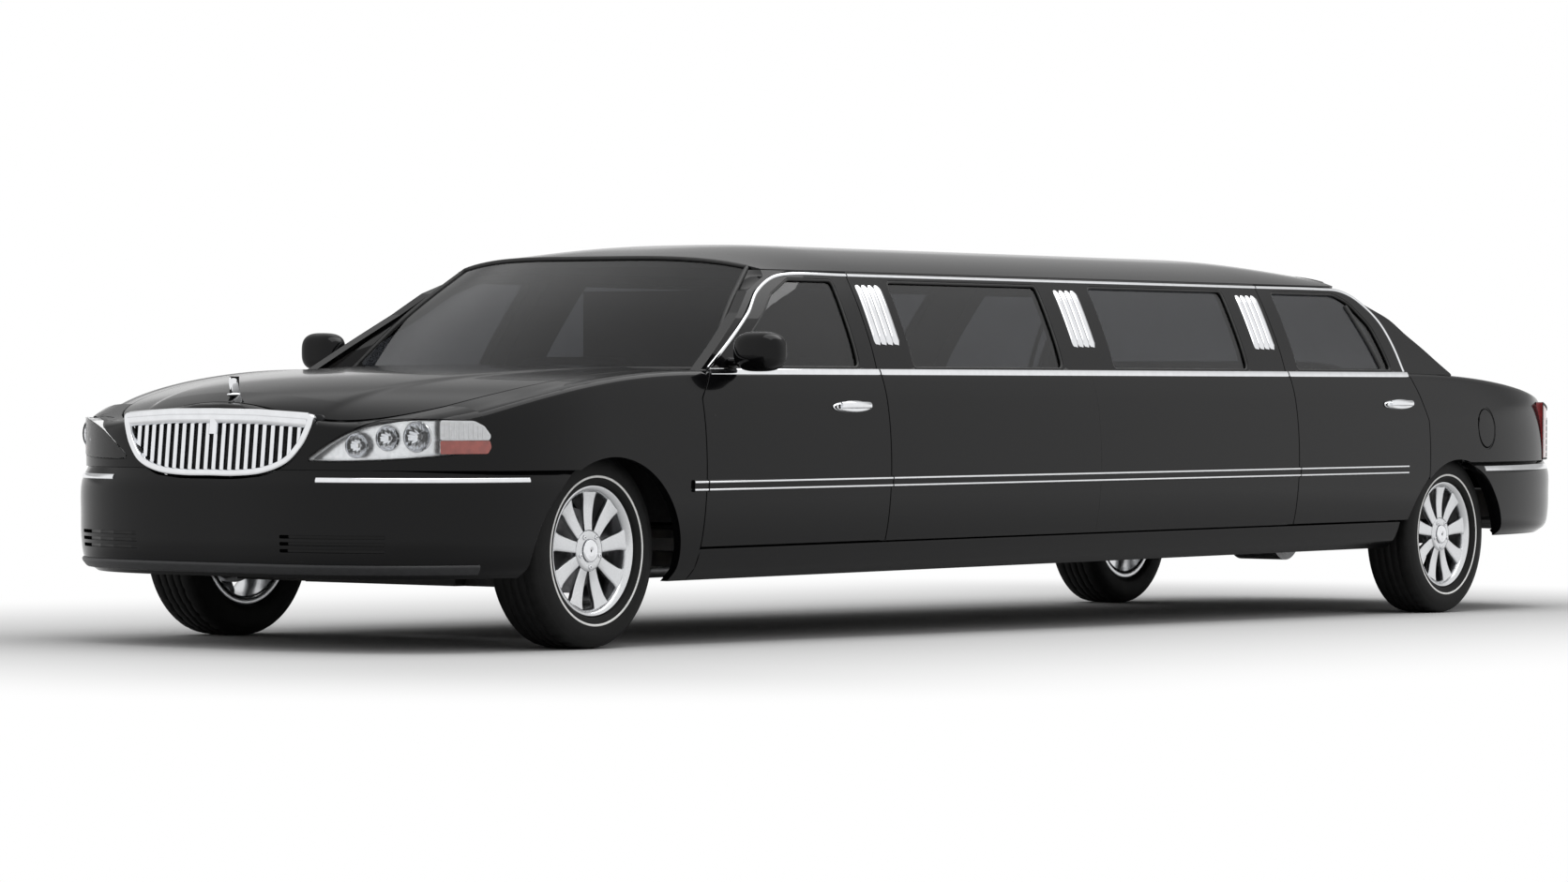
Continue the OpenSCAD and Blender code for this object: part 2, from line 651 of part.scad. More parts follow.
// Hood edge at the front follows the nose at a constant strip
function nose_x(y) = fa + (nose_l - nose_strip - shut_gap)
  * pow(1 - pow(min(1, abs(y) / (half_w * hood_tip_share - shut_gap)), side_pow), 1 / front_pow);
function hood_y(x) = crest_y(min(x, fa + fender_front)) * hood_share - shut_gap;
function hood_pt(u, v) = let (
  x = mix(fx(hood_rear) + hood_rear_bow * (1 - v * v), nose_x(v * hood_y(fa + fender_front)), u),
  y = v * hood_y(x))
  [x, y, top_z(x, y)];
module hood() {
  cols = concat(hood_cols, [for (i = [len(hood_cols) - 2 : -1 : 0]) -hood_cols[i]]);
  outer = [for (u = hood_rows) [for (v = cols) hood_pt(u, v)]];
  inner = [for (r = outer) [for (p = r) p - [0, 0, lid_t]]];
  color(paint) raked() {
    skin(outer, inner);
    translate([fa + nose_l - blade_x, -blade_t / 2, centre_z(fa + nose_l - blade_x) - over])
      cube([blade_l, blade_t, blade_h + over]);
    both_sides() lug(fx(hood_pin_x), hood_pin_y, hood_pin_z, 1,
      top_z(fx(hood_pin_x - lug_reach), hood_pin_y) - lid_t / 2 - hood_pin_z);
  }
}

fire_x = 560;
fire_t = 40;
cowl_end = 780;
cowl_drop = 70;
cowl_z = belt_z - cowl_drop;
cowl_t = 50;
cowl_y = wall_in_y - frame_t;
// Door hinges: height shares between crease and belt
hinge_shares = [0.22, 0.70];
hinge_back = 60;
hinge_in = 15;
hinge_y = half_w - hinge_in;
hinge_clear = 2;
hinge_h = 36;
hinge_arm = 12;
hinge_pin_r = 4;
function hinge_z(k) = mix(crease_z, belt_z, hinge_shares[k]);
// Arm and pin at a hinge axis, reaching inward to a given Y
module hinge_fixed(x, y_in) {
  for (k = [0, 1]) translate([0, 0, hinge_z(k)]) {
    block([x - hinge_arm / 2, y_in, -hinge_arm / 2], [x + hinge_arm / 2, hinge_y, hinge_arm / 2]);
    translate([x, hinge_y, -hinge_h]) cylinder(r = hinge_pin_r, h = 2 * hinge_h, $fn = 24);
  }
}
// Pocket in a door round the arm, and the bore for the pin
module hinge_pocket(x, x_edge) {
  for (k = [0, 1]) translate([0, 0, hinge_z(k)]) {
    block([x - hinge_arm, 0, -hinge_arm], [x_edge + over, hinge_y + hinge_pin_r + hinge_clear, hinge_arm]);
    translate([x, hinge_y, -hinge_h - hinge_clear])
      cylinder(r = hinge_pin_r + pin_gap, h = 2 * (hinge_h + hinge_clear), $fn = 24);
  }
}
front_hinge_x = front_cut - shut_gap / 2 - hinge_back;
rear_hinge_x = d_cut - shut_gap / 2 - hinge_back;
module cowl() {
  color(dark) raked() {
    block([fx(fire_x + fire_t), -cowl_y, rail_z + rail_h + end_rise], [fx(fire_x), cowl_y, cowl_z - cowl_t]);
    block([fx(cowl_end), -cowl_y, cowl_z - cowl_t], [fx(fire_x), cowl_y, cowl_z]);
    both_sides() {
      hinge_fixed(front_hinge_x, cowl_y - over);
      ear(fx(hood_pin_x), hood_pin_y, hood_pin_z, hood_pin_z - cowl_z + over);
    }
  }
}

// Windshield and rear window: shares of height and of half width
pane_rows = [0, 0.25, 0.5, 0.75, 1.0];
pane_cols = [1, 0.75, 0.5, 0.25, 0, -0.25, -0.5, -0.75, -1];
screen_share = 0.84925;
screen_top_share = 0.67538;
screen_half = half_w * screen_share;
screen_half_top = half_w * screen_top_share;
screen_low_x = 700;
screen_rise = 6;
screen_low_z = belt_z + screen_rise;
screen_t = 8;
screen_tuck = 14;
screen_gap = 1.8;
function roof_bow(y) = 1 - pow(y / roof_half, 2);
function roof_front_x(y) = fx(roof_front) + roof_front_bow * roof_bow(y);
function roof_rear_x(y) = rx(roof_rear) - roof_rear_bow * roof_bow(y);
function screen_pt(u, v) = let (y0 = screen_half * v, y1 = screen_half_top * v,
  x1 = roof_front_x(y1) + screen_gap)
  [mix(fx(screen_low_x) + roof_front_bow * roof_bow(y0), x1, u), mix(y0, y1, u),
   mix(screen_low_z, roof_top(x1, y1) - screen_tuck, u)];
module windshield() {
  outer = [for (u = pane_rows) [for (v = pane_cols) screen_pt(u, v)]];
  color(tint) raked()
    skin(outer, [for (r = outer) [for (p = r) p - [0, 0, screen_t]]]);
}

a_wide = 42;
a_low = top_z(fx(a_base), frame_pts[0][0] - frame_t) + seat_gap;
module a_pillars() {
  color(paint) raked() both_sides() intersection() {
    cross_prism(fx(a_base + a_run), fx(a_base - a_wide)) polygon(wall_section);
    side_prism(0, half_w) polygon(concat([[a_edge[0][0] + shut_gap / 2, a_low]],
      [for (i = [1 : 4]) a_edge[i] + [shut_gap / 2, shut_gap / 2]],
      [[fx(roof_front), roof_seat_z]],
      [for (i = [3 : -1 : 1]) a_edge[i] + [a_wide, shut_gap / 2]],
      [[a_edge[0][0] + a_wide, a_low]]));
  }
}

// Roof: share of length, share of half width
roof_rows = [0, 0.04, 0.09, 0.15, 0.23, 0.40, 0.60, 0.77, 0.85, 0.91, 0.96, 1.0];
roof_cols = [1, 0.93, 0.82, 0.66, 0.44, 0.22, 0];
roof_t = 40;
roof_front = 1225;
roof_front_bow = 120;
roof_rear = 640;
roof_rear_bow = 150;
roof_fade = 800;
roof_front_drop = 62;
roof_rear_drop = 58;
roof_pow = 3;
roof_half = half_w * (1 - glass_shares[4][1]);
function roof_drop(x) = roof_front_drop * pow(clamp(1 - (fx(roof_front - roof_front_bow) - x) / roof_fade), 2)
  + roof_rear_drop * pow(clamp(1 - (x - rx(roof_rear - roof_rear_bow)) / roof_fade), 2);
function roof_top(x, y) = roof_seat_z
  + (roof_z - drip_z - roof_drop(x)) * (1 - pow(abs(y) / roof_half, roof_pow));
function roof_pt(u, v) = let (y = roof_half * v, x = mix(roof_front_x(y), roof_rear_x(y), u))
  [x, y, roof_top(x, y)];
module roof() {
  cols = concat(roof_cols, [for (i = [len(roof_cols) - 2 : -1 : 0]) -roof_cols[i]]);
  outer = [for (u = roof_rows) [for (v = cols) roof_pt(u, v)]];
  inner = [for (r = outer) [for (p = r)
    [p[0], p[1] * (1 - frame_t / half_w * pow(abs(p[1]) / roof_half, 8)),
     max(roof_seat_z, p[2] - roof_t * (1 - pow(abs(p[1]) / roof_half, 8)))]]];
  color(paint) raked() skin(outer, inner);
}

// Sides between the doors
module centre_sides() {
  color(paint) raked() both_sides() difference() {
    wall(lean(d_cut, drip_z), b_cut, centre_outline, -shut_gap / 2);
    for (w = centre_wins) side_prism(0, half_w + over) win_2d(centre_win(w), 0);
  }
  color(paint) raked() both_sides() {
    block([d_cut + shut_gap / 2, wall_in_y, crease_z - shut_gap + seat_gap],
      [b_cut - shut_gap / 2, half_w - door_t / 2, crease_z + shut_gap]);
    hinge_fixed(rear_hinge_x, wall_in_y - hinge_arm);
    for (k = [0, 1]) block([rear_hinge_x - hinge_arm / 2, wall_in_y - hinge_arm, hinge_z(k) - hinge_arm / 2],
      [d_cut + hinge_back, wall_in_y, hinge_z(k) + hinge_arm / 2]);
  }
}
module side_glass() {
  color(tint) raked() both_sides()
    for (w = centre_wins) pane(lean(d_cut, drip_z), b_cut, centre_win(w));
}

// Louvres: share of the centre panel's length at the belt
louvre_shares = [0.010, 0.468, 0.934];
ribs = 4;
rib_pitch = 41;
rib_w = 37;
rib_low = 0.28;
rib_high = 0.86;
rib_proud = 9;
module louvres() {
  z0 = mix(belt_z, drip_z, rib_low);
  z1 = mix(belt_z, drip_z, rib_high);
  color(chrome) raked() both_sides()
    intersection() {
      cross_prism(d_cut - cut_lean, b_cut) polygon(concat(
        [for (p = frame_pts) p + [rib_proud, 0]],
        [for (i = [len(frame_pts) - 1 : -1 : 0]) frame_pts[i]]));
      side_prism(0, half_w + over)
        for (s = louvre_shares) for (i = [0 : ribs - 1])
          let (x = b_cut - s * centre_l - i * rib_pitch)
            polygon([[lean(x, z1), z1], [lean(x - rib_w, z1), z1], [lean(x - rib_w, z0), z0],
              [lean(x, z0), z0]]);
    }
}

// Rear end
tail_end = 1230;
lamp_front = 905;
quarter_cols = [0, 0.10, 0.20, 0.32, 0.44, 0.56, 0.68, 0.79, 0.90, 1.0];
fuel_x = 257;
fuel_z = 740;
fuel_w = 155;
fuel_h = 177;
fuel_t = 12;
module fuel_2d(grow) {
  translate([rx(-fuel_x), fuel_z]) scale([(fuel_w + grow) / fuel_h, (fuel_h + grow) / fuel_h])
    circle(d = fuel_h, $fn = 40);
}
fuel_pin_in = 8;
fuel_pin_r = 2;
fuel_pin_h = 112;
fuel_pin_x = rx(-fuel_x) + fuel_w / 2 - shut_gap - fuel_pin_in;
fuel_pin_y = plan_w(rx(-fuel_x)) * (1 - side_shares[5][1]) - fuel_t / 4;
module quarter(hole) {
  x0 = rx(-tail_end);
  x1 = c_cut - shut_gap / 2;
  difference() {
    union() {
      skin([for (s = quarter_cols) wing_outer(mix(x0, x1, s))],
        [for (s = quarter_cols) wing_inner(mix(x0, x1, s))]);
      intersection() {
        cross_prism(c_cut - c_pillar_foot, c_cut + c_run) polygon(pillar_section);
        side_prism(0, half_w) offset(delta = -shut_gap / 2) polygon(c_pillar_outline);
      }
    }
    arch_cut(ra, hub_zr, half_w - door_t - lid_t, half_w + over, arch_r);
    block([ra - rear_overhang, 0, 0], [ra, half_w + over, rear_bumper_top + seat_gap]);
    side_prism(0, half_w + over) polygon([[rx(-lamp_front), 0], [rx(-rear_overhang), 0],
      [rx(-rear_overhang), crest_z(rx(-tail_end)) - lid_t],
      [rx(-tail_end), crest_z(rx(-tail_end)) - lid_t],
      [rx(-lamp_front), crest_z(rx(-lamp_front)) - lid_t]]);
    side_prism(half_w / 2, half_w + over)
      offset(delta = shut_gap / 2) polygon(rear_door_outline);
    if (hole) side_prism(half_w / 2, half_w + over) fuel_2d(0);
  }
  if (hole) translate([fuel_pin_x, fuel_pin_y, fuel_z - fuel_pin_h / 2])
    cylinder(r = fuel_pin_r, h = fuel_pin_h, $fn = 24);
}
module quarter_panels() {
  color(paint) raked() {
    quarter(true);
    mirror([0, 1, 0]) quarter(false);
  }
}

glass_share = 0.8392;
glass_top_share = 0.65327;
glass_half = half_w * glass_share;
glass_half_top = half_w * glass_top_share;
glass_low_x = 75;
glass_rise = 20;
glass_low_z = belt_z + glass_rise;
function rear_pt(u, v) = let (y0 = glass_half * v, y1 = glass_half_top * v,
  x1 = roof_rear_x(y1) - screen_gap)
  [mix(rx(-glass_low_x) - roof_rear_bow * roof_bow(y0), x1, u), mix(y0, y1, u),
   mix(glass_low_z, roof_top(x1, y1) - screen_tuck, u)];
module rear_window() {
  outer = [for (u = pane_rows) [for (v = pane_cols) rear_pt(u, v)]];
  color(tint) raked()
    skin(outer, [for (r = outer) [for (p = r) p - [0, 0, screen_t]]]);
}

shelf_front = 430;
shelf_rear = -150;
shelf_drop = 40;
shelf_z = belt_z - shelf_drop;
shelf_t = 30;
lid_pin_x = -285;
lid_pin_share = 0.56281;
lid_pin_y = half_w * lid_pin_share;
lid_pin_drop = 62;
lid_pin_z = belt_z - lid_pin_drop;
ear_down = 50;
ear_arm = 20;
module rear_shelf() {
  color(dark) raked() difference() {
    union() {
      block([rx(shelf_rear), -cowl_y, shelf_z - shelf_t], [rx(shelf_front), cowl_y, shelf_z]);
      block([rx(shelf_front - shelf_t), -rail_y, floor_top + seat_gap],
        [rx(shelf_front), rail_y, shelf_z - shelf_t]);
      both_sides() {
        ear(rx(lid_pin_x), lid_pin_y, lid_pin_z, ear_down);
        block([rx(lid_pin_x), lid_pin_y + lug_t + 3 * seat_gap, lid_pin_z - ear_down],
          [rx(shelf_rear) + over, lid_pin_y + 2 * lug_t + seat_gap, lid_pin_z - ear_down + ear_arm]);
        block([rx(shelf_rear), lid_pin_y + lug_t + 3 * seat_gap, lid_pin_z - ear_down],
          [rx(shelf_rear) + lug_t, lid_pin_y + 2 * lug_t + seat_gap, shelf_z]);
      }
    }
    tunnel_space();
  }
}

// Trunk lid: position along its line as shares of the deck's length and of the tail's height
lid_rows = [[0, 0], [0.25, 0], [0.5, 0], [0.72, 0], [0.88, 0], [0.96, 0.02], [1.0, 0.10],
  [1.0, 0.40], [0.985, 0.70], [0.97, 1.0]];
lid_front = -262;
lid_tail_in = 190;
lid_tail = rear_overhang - lid_tail_in;
function lid_y(x) = crest_y(max(x, rx(-tail_end))) * hood_share - shut_gap;
lid_low_gap = 10;
lid_low_z = rear_bumper_top + lid_low_gap;
lid_cols = [1, 0.85, 0.6, 0.3, 0];
lid_bow = 40;
function lid_pt(r, v) = let (
  x = mix(rx(lid_front), rx(-lid_tail), r[0]) - lid_bow * r[0] * (1 - v * v),
  y = lid_y(x) * v)
  [x, y, mix(top_z(max(x, rx(-tail_end)), y), lid_low_z, r[1])];
module trunk_lid() {
  cols = concat(lid_cols, [for (i = [len(lid_cols) - 2 : -1 : 0]) -lid_cols[i]]);
  outer = [for (r = lid_rows) [for (v = cols) lid_pt(r, v)]];
  inner = [for (i = [0 : len(lid_rows) - 1]) [for (p = outer[i])
    p + [min(1, lid_rows[i][1] * 10 + max(0, i - 3) * 0.2) * lid_t, 0, lid_rows[i][1] > 0.05 ? 0 : -lid_t]]];
  color(paint) raked() {
    skin(outer, inner);
    both_sides() lug(rx(lid_pin_x), lid_pin_y, lid_pin_z, -1,
      top_z(rx(lid_pin_x - lug_reach), lid_pin_y) - lid_t / 2 - lid_pin_z);
  }
}

// Tail lamps wrap the rear corners
tail_in = 30;
tail_out = 61;
tail_low_z = rear_bumper_top + seat_gap;
tail_t = 60;
tail_steps = 8;
tail_rows = [0, 0.5, 1];
// Top of a lamp: a straight line under the edge of the quarter panel
function tail_top(x) = mix(crest_z(rx(-lamp_front)), crest_z(rx(-tail_end)),
  clamp((rx(-lamp_front) - x) / (tail_end - lamp_front))) - lid_t - seat_gap;
module tail_lamps() {
  grids = [for (inset = [0, tail_t]) [for (k = tail_rows) [for (i = [0 : tail_steps])
    let (b = rear_bow(mix(tail_in, tail_out, i / tail_steps), tail_l, inset))
      [b[0], b[1], mix(tail_low_z, tail_top(b[0]), k)]]]];
  color([0.55, 0.05, 0.05]) raked() both_sides() intersection() {
    skin(grids[0], grids[1]);
    side_prism(0, half_w) polygon([[rx(-lamp_front) - seat_gap, 0], [rx(-rear_overhang), 0],
      [rx(-rear_overhang), tail_top(rx(-tail_end))], [rx(-tail_end), tail_top(rx(-tail_end))],
      [rx(-lamp_front) - seat_gap, tail_top(rx(-lamp_front) - seat_gap)]]);
  }
}

module rear_bumper() {
  color(paint) raked() difference() {
    rear_bumper_skin();
    both_sides() arch_cut(ra, hub_zr, half_w / 2, half_w + over, arch_r);
  }
}

module fuel_door() {
  xs = [for (s = quarter_cols) mix(rx(-tail_end), c_cut, s)];
  color(paint) raked() difference() {
    intersection() {
      skin([for (x = xs) wing_outer(x)], [for (x = xs) [for (p = wing_outer(x)) p - [0, fuel_t, 0]]]);
      side_prism(0, half_w + over) fuel_2d(-2 * shut_gap);
    }
    translate([fuel_pin_x, fuel_pin_y, fuel_z - fuel_pin_h / 2])
      cylinder(r = fuel_pin_r + pin_gap, h = fuel_pin_h, $fn = 24);
  }
}

// Doors
handle_l = 240;
handle_h = 40;
handle_z = 846;
handle_proud = 22;
front_handle = 230;
rear_handle = 146;
door_arch_gap = 12;
module handle(x) {
  y = half_w * (1 - side_shares[6][1]);
  translate([x, y + handle_proud / 2, handle_z]) rotate([90, 0, 0])
    linear_extrude(handle_proud * 1.5) scale([1, handle_h / handle_l]) circle(d = handle_l, $fn = 32);
}
module front_door() {
  difference() {
    wall(lean(b_cut, drip_z), front_cut, front_door_outline, -shut_gap / 2);
    side_prism(0, half_w + over) win_2d(front_win, 0);
    hinge_pocket(front_hinge_x, front_cut);
  }
  handle(b_cut + front_handle);
}
module rear_door() {
  difference() {
    wall(c_cut - hip_out, d_cut, rear_door_outline, -shut_gap / 2);
    side_prism(0, half_w + over) win_2d(rear_win, 0);
    arch_cut(ra, hub_zr, 0, half_w + over, arch_r + door_arch_gap);
    hinge_pocket(rear_hinge_x, d_cut);
  }
  handle(c_cut + rear_handle);
}
module door_fl() { color(paint) raked() front_door(); }
module door_fr() { color(paint) raked() mirror([0, 1, 0]) front_door(); }
module door_rl() { color(paint) raked() rear_door(); }
module door_rr() { color(paint) raked() mirror([0, 1, 0]) rear_door(); }
module front_pane() { pane(lean(b_cut, drip_z), front_cut, front_win); }
module rear_pane() { pane(c_cut - hip_out, d_cut, rear_win); }
module glass_fl() { color(tint) raked() front_pane(); }
module glass_fr() { color(tint) raked() mirror([0, 1, 0]) front_pane(); }
module glass_rl() { color(tint) raked() rear_pane(); }
module glass_rr() { color(tint) raked() mirror([0, 1, 0]) rear_pane(); }

mirror_x = 790;
mirror_out = 40;
mirror_y = half_w + mirror_out;
mirror_rise = 72;
mirror_z = belt_z + mirror_rise;
mirror_l = 115;
mirror_w = 190;
mirror_h = 140;
mirror_foot = 60;
module mirror_body() {
  difference() {
    mirror_solid();
    cross_prism(b_cut, front_cut) translate([seat_gap, 0]) polygon(wall_section);
    cross_prism(b_cut, front_cut) square([frame_y(belt_z + mirror_foot), drip_z]);
  }
}
module mirror_solid() {
  hull() {
    translate([fx(mirror_x), mirror_y, mirror_z]) scale([mirror_l, mirror_w, mirror_h] / mirror_w)
      sphere(d = mirror_w, $fn = 20);
    translate([fx(mirror_x) - mirror_l / 4, mirror_y, mirror_z])
      cube([mirror_l / 3, mirror_w * 0.8, mirror_h * 0.7], center = true);
  }
  block([fx(mirror_x + mirror_foot / 2), frame_y(belt_z + mirror_foot), belt_z + mirror_foot / 3],
    [fx(mirror_x - mirror_foot / 2), mirror_y, belt_z + mirror_foot]);
}
module mirror_l() { color(paint) raked() mirror_body(); }
module mirror_r() { color(paint) raked() mirror([0, 1, 0]) mirror_body(); }

// Wheels
rim_w = 190;
rim_t = 12;
hub_r = 74;
hub_t = 40;
spoke_in = 42;
spoke_out = 66;
spoke_t = 26;
face_in = 14;
hub_step = 4;
spoke_root_share = 0.86;
spindle_r = 30;
run_gap = 0.05;
flange_h = 18;
bead_r = rim_r - flange_h;
// Tyre profile: share of section height, share of half width
tyre_shares = [[0, 0.73], [0.142, 0.73], [0.15, 0.92], [0.42, 1.0], [0.70, 0.97], [0.90, 0.86],
  [1.0, 0.74]];
groove_w = 9;
groove_d = 8;
groove_shares = [-0.44, -0.15, 0.15, 0.44];
module tyre_at(x, y) {
  half = concat([for (s = tyre_shares) [mix(bead_r, tyre_r, s[0]), s[1] * tyre_w / 2]]);
  color([0.10, 0.10, 0.10]) translate([x, y, hub_z]) rotate([90, 0, 0])
    rotate_extrude($fn = 96) difference() {
      polygon(concat(half, [for (i = [len(half) - 1 : -1 : 0]) [half[i][0], -half[i][1]]]));
      for (g = groove_shares)
        translate([tyre_r - groove_d, g * tyre_w / 2 - groove_w / 2]) square([groove_d * 2, groove_w]);
    }
}
module rim_at(x, y, side) {
  color(chrome) translate([x, y, hub_z]) rotate([90, 0, side > 0 ? 180 : 0])
    difference() {
      union() {
        rotate_extrude($fn = 96) {
          translate([bead_r - rim_t - seat_gap, -rim_w / 2]) square([rim_t, rim_w]);
          for (z = [-rim_w / 2, rim_w / 2 - rim_t])
            translate([bead_r - rim_t - seat_gap, z]) square([rim_r - bead_r + rim_t, rim_t]);
        }
        translate([0, 0, rim_w / 2 - face_in - hub_t]) cylinder(r = hub_r, h = hub_t, $fn = fine);
        for (i = [0 : spokes - 1])
          rotate([0, 0, i * 360 / spokes])
            translate([0, 0, rim_w / 2 - face_in - spoke_t - hub_step]) linear_extrude(spoke_t)
              polygon([[hub_r * spoke_root_share, -spoke_in / 2], [bead_r - rim_t / 2, -spoke_out / 2],
                [bead_r - rim_t / 2, spoke_out / 2], [hub_r * spoke_root_share, spoke_in / 2]]);
      }
      translate([0, 0, rim_w / 2 - face_in - hub_t - over])
        cylinder(r = spindle_r + run_gap, h = hub_t * 0.7 + over, $fn = fine);
    }
}
front_y = front_track / 2;
rear_y = rear_track / 2;
module rim_fl() { rim_at(fa, front_y, 1); }
module rim_fr() { rim_at(fa, -front_y, -1); }
module rim_rl() { rim_at(ra, rear_y, 1); }
module rim_rr() { rim_at(ra, -rear_y, -1); }
module tyre_fl() { tyre_at(fa, front_y); }
module tyre_fr() { tyre_at(fa, -front_y); }
module tyre_rl() { tyre_at(ra, rear_y); }
module tyre_rr() { tyre_at(ra, -rear_y); }

// Axles
king_in = 85;
king_y = front_y - king_in;
king_boss = 8;
king_r = 22;
disc_r = 150;
disc_t = 28;
disc_y = 6;
arm_gap = 0.3;
king_h = 200;
spindle_clear = 2;
spindle_end = rim_w / 2 - face_in - hub_t * 0.3 - spindle_clear;
module knuckle() {
  translate([fa, front_y + spindle_end, hub_z]) rotate([90, 0, 0])
    cylinder(r = spindle_r, h = front_y + spindle_end - king_y, $fn = fine);
  translate([fa, front_y - disc_y, hub_z]) rotate([90, 0, 0])
    cylinder(r = disc_r, h = disc_t, $fn = fine);
  translate([fa, king_y, hub_z - king_h / 2]) cylinder(r = king_r + king_boss, h = king_h, $fn = fine);
}
module knuckle_l() { color(steel) knuckle(); }
module knuckle_r() { color(steel) mirror([0, 1, 0]) knuckle(); }

arm_w = 70;
arm_t = 36;
module front_crossmember() {
  color(dark) union() {
    block([fa - cross_w, -rail_y + rail_w, hub_z - king_h / 2 - arm_t - arm_gap],
      [fa + cross_w, rail_y - rail_w, rail_z + end_rise]);
    both_sides() for (z = [hub_z - king_h / 2 - arm_t - arm_gap, hub_z + king_h / 2 + arm_gap]) {
      translate([fa, king_y, z]) cylinder(r = king_r + king_boss, h = arm_t, $fn = fine);
      block([fa - arm_w / 2, rail_y - rail_w, z], [fa + arm_w / 2, king_y, z + arm_t]);
    }
    both_sides() block([fa - arm_w / 2, rail_y - rail_w, hub_z - king_h / 2],
      [fa + arm_w / 2, rail_y - rail_w / 2 - arm_gap, hub_z + king_h / 2 + arm_t]);
  }
}

axle_r = 42;
diff_r = 130;
diff_l = 230;
axle_end = rear_y + spindle_end;
axle_step = 60;
post_l = 80;
post_w = 60;
module rear_axle() {
  color(dark) union() {
    translate([ra, axle_end - axle_step, hub_z]) rotate([90, 0, 0])
      cylinder(r = axle_r, h = 2 * (axle_end - axle_step), $fn = fine);
    translate([ra, axle_end, hub_z]) rotate([90, 0, 0])
      cylinder(r = spindle_r, h = 2 * axle_end, $fn = fine);
    translate([ra, diff_l / 2, hub_z]) rotate([90, 0, 0]) cylinder(r = diff_r, h = diff_l, $fn = fine);
    both_sides() block([ra - post_l / 2, rail_y - post_w / 2, hub_z],
      [ra + post_l / 2, rail_y + post_w / 2, rail_z + kick + rake_rise - bumper_seat]);
  }
}

shaft_r = 45;
shaft_front = 422.4;
module drive_shaft() {
  color(steel) translate([ra + diff_r + seat_gap, 0, hub_z]) rotate([0, 90, 0])
    cylinder(r = shaft_r, h = wheelbase - diff_r - shaft_front, $fn = fine);
}

pipe_r = 30;
pipe_share = 0.25126;
pipe_y = half_w * pipe_share;
muffler_r = 80;
muffler_l = 620;
muffler_x = 2100;
pipe_front = 900;
pipe_rear = 600;
module exhaust() {
  color(steel) raked() both_sides() {
    translate([rx(pipe_rear), pipe_y, rail_z - pipe_r - seat_gap]) rotate([0, 90, 0])
      cylinder(r = pipe_r, h = wheelbase - pipe_rear - pipe_front, $fn = fine);
    translate([rx(muffler_x), pipe_y, rail_z - pipe_r - seat_gap]) rotate([0, 90, 0])
      cylinder(r = muffler_r / 2, h = muffler_l, $fn = fine);
  }
}

engine_front = 420;
engine_rear = 420;
engine_w = 560;
engine_foot = 240;
engine_low = 372;
engine_high = 800;
engine_foot_h = 50;
module engine_block() {
  color(steel) raked() union() {
    block([fx(engine_rear), -engine_w / 2, engine_low], [fa + engine_front, engine_w / 2, engine_high]);
    block([fx(engine_foot), seat_gap + rail_w / 2 - rail_y, engine_low],
      [fx(engine_foot - cross_w), rail_y - rail_w / 2 - seat_gap, engine_low + engine_foot_h]);
  }
}

// Cabin
dash_front = fire_x + fire_t;
dash_rear = 1010;
dash_low = 620;
dash_in = 25;
dash_y = cowl_y - dash_in;
module dashboard() {
  color(leather) raked() difference() {
    block([fx(dash_rear), -dash_y, dash_low],
      [fx(dash_front + seat_gap), dash_y, cowl_z - cowl_t - seat_gap]);
    column(pin_gap);
  }
}
module column(gap) {
  translate([fx(wheel_x), wheel_y, wheel_z]) rotate([0, wheel_tilt, 0])
    translate([0, 0, -column_l - gap])
      cylinder(r = 2 * wheel_tube + gap, h = column_l + gap, $fn = fine);
}

wheel_x = 1130;
wheel_share = 0.38191;
wheel_y = half_w * wheel_share;
wheel_z = 830;
wheel_r = 190;
wheel_tube = 15;
wheel_tilt = -65;
column_l = 210;
module steering_wheel() {
  color(leather) raked() translate([fx(wheel_x), wheel_y, wheel_z]) rotate([0, wheel_tilt, 0]) {
    rotate_extrude($fn = fine) translate([wheel_r - wheel_tube, 0]) circle(r = wheel_tube, $fn = 16);
    for (a = [0, 120, 240]) rotate([0, 0, a]) translate([0, -wheel_tube, -wheel_tube / 2])
      cube([wheel_r - wheel_tube, 2 * wheel_tube, wheel_tube]);
  }
  color(leather) raked() column(0);
}

seat_z = floor_z + floor_t + seat_gap;
seat_h = 190;
seat_t = 140;
back_h = 640;
front_seat_x = 1400;
front_seat_l = 520;
seat_w_share = 0.56281;
seat_y_share = 0.15075;
front_seat_w = half_w * seat_w_share;
front_seat_y = half_w * seat_y_share;
bench_x = 440;
bench_l = 560;
bench_share = 0.72362;
bench_w = half_w * bench_share;
bench_gap = 20;
side_bench_l_share = 0.63758;
side_bench_l = centre_l * side_bench_l_share;
side_bench_w = 480;
module seat_solid(x, y0, y1, l) {
  block([x - l, y0, seat_z], [x, y1, seat_z + seat_h]);
  block([x - l, y0, seat_z + seat_h], [x - l + seat_t, y1, seat_z + back_h]);
}
module seats() {
  color(leather) raked() difference() {
    union() {
      both_sides() seat_solid(fx(front_seat_x - front_seat_l / 2), front_seat_y,
        front_seat_y + front_seat_w, front_seat_l);
      seat_solid(rx(bench_x + bench_l), -bench_w, bench_w, bench_l);
      block([rx(bench_x + bench_l + bench_gap), -bench_w, seat_z],
        [rx(bench_x + bench_l + bench_gap + side_bench_l), side_bench_w - bench_w, seat_z + seat_h]);
    }
    tunnel_space();
  }
}

part_x = 1900;
part_t = 60;
part_share = 0.64322;
part_y = half_w * part_share;
part_drop = 60;
module partition() {
  color(leather) raked() difference() {
    block([fx(part_x + part_t), -part_y, seat_z], [fx(part_x), part_y, drip_z - part_drop]);
    tunnel_space();
  }
}

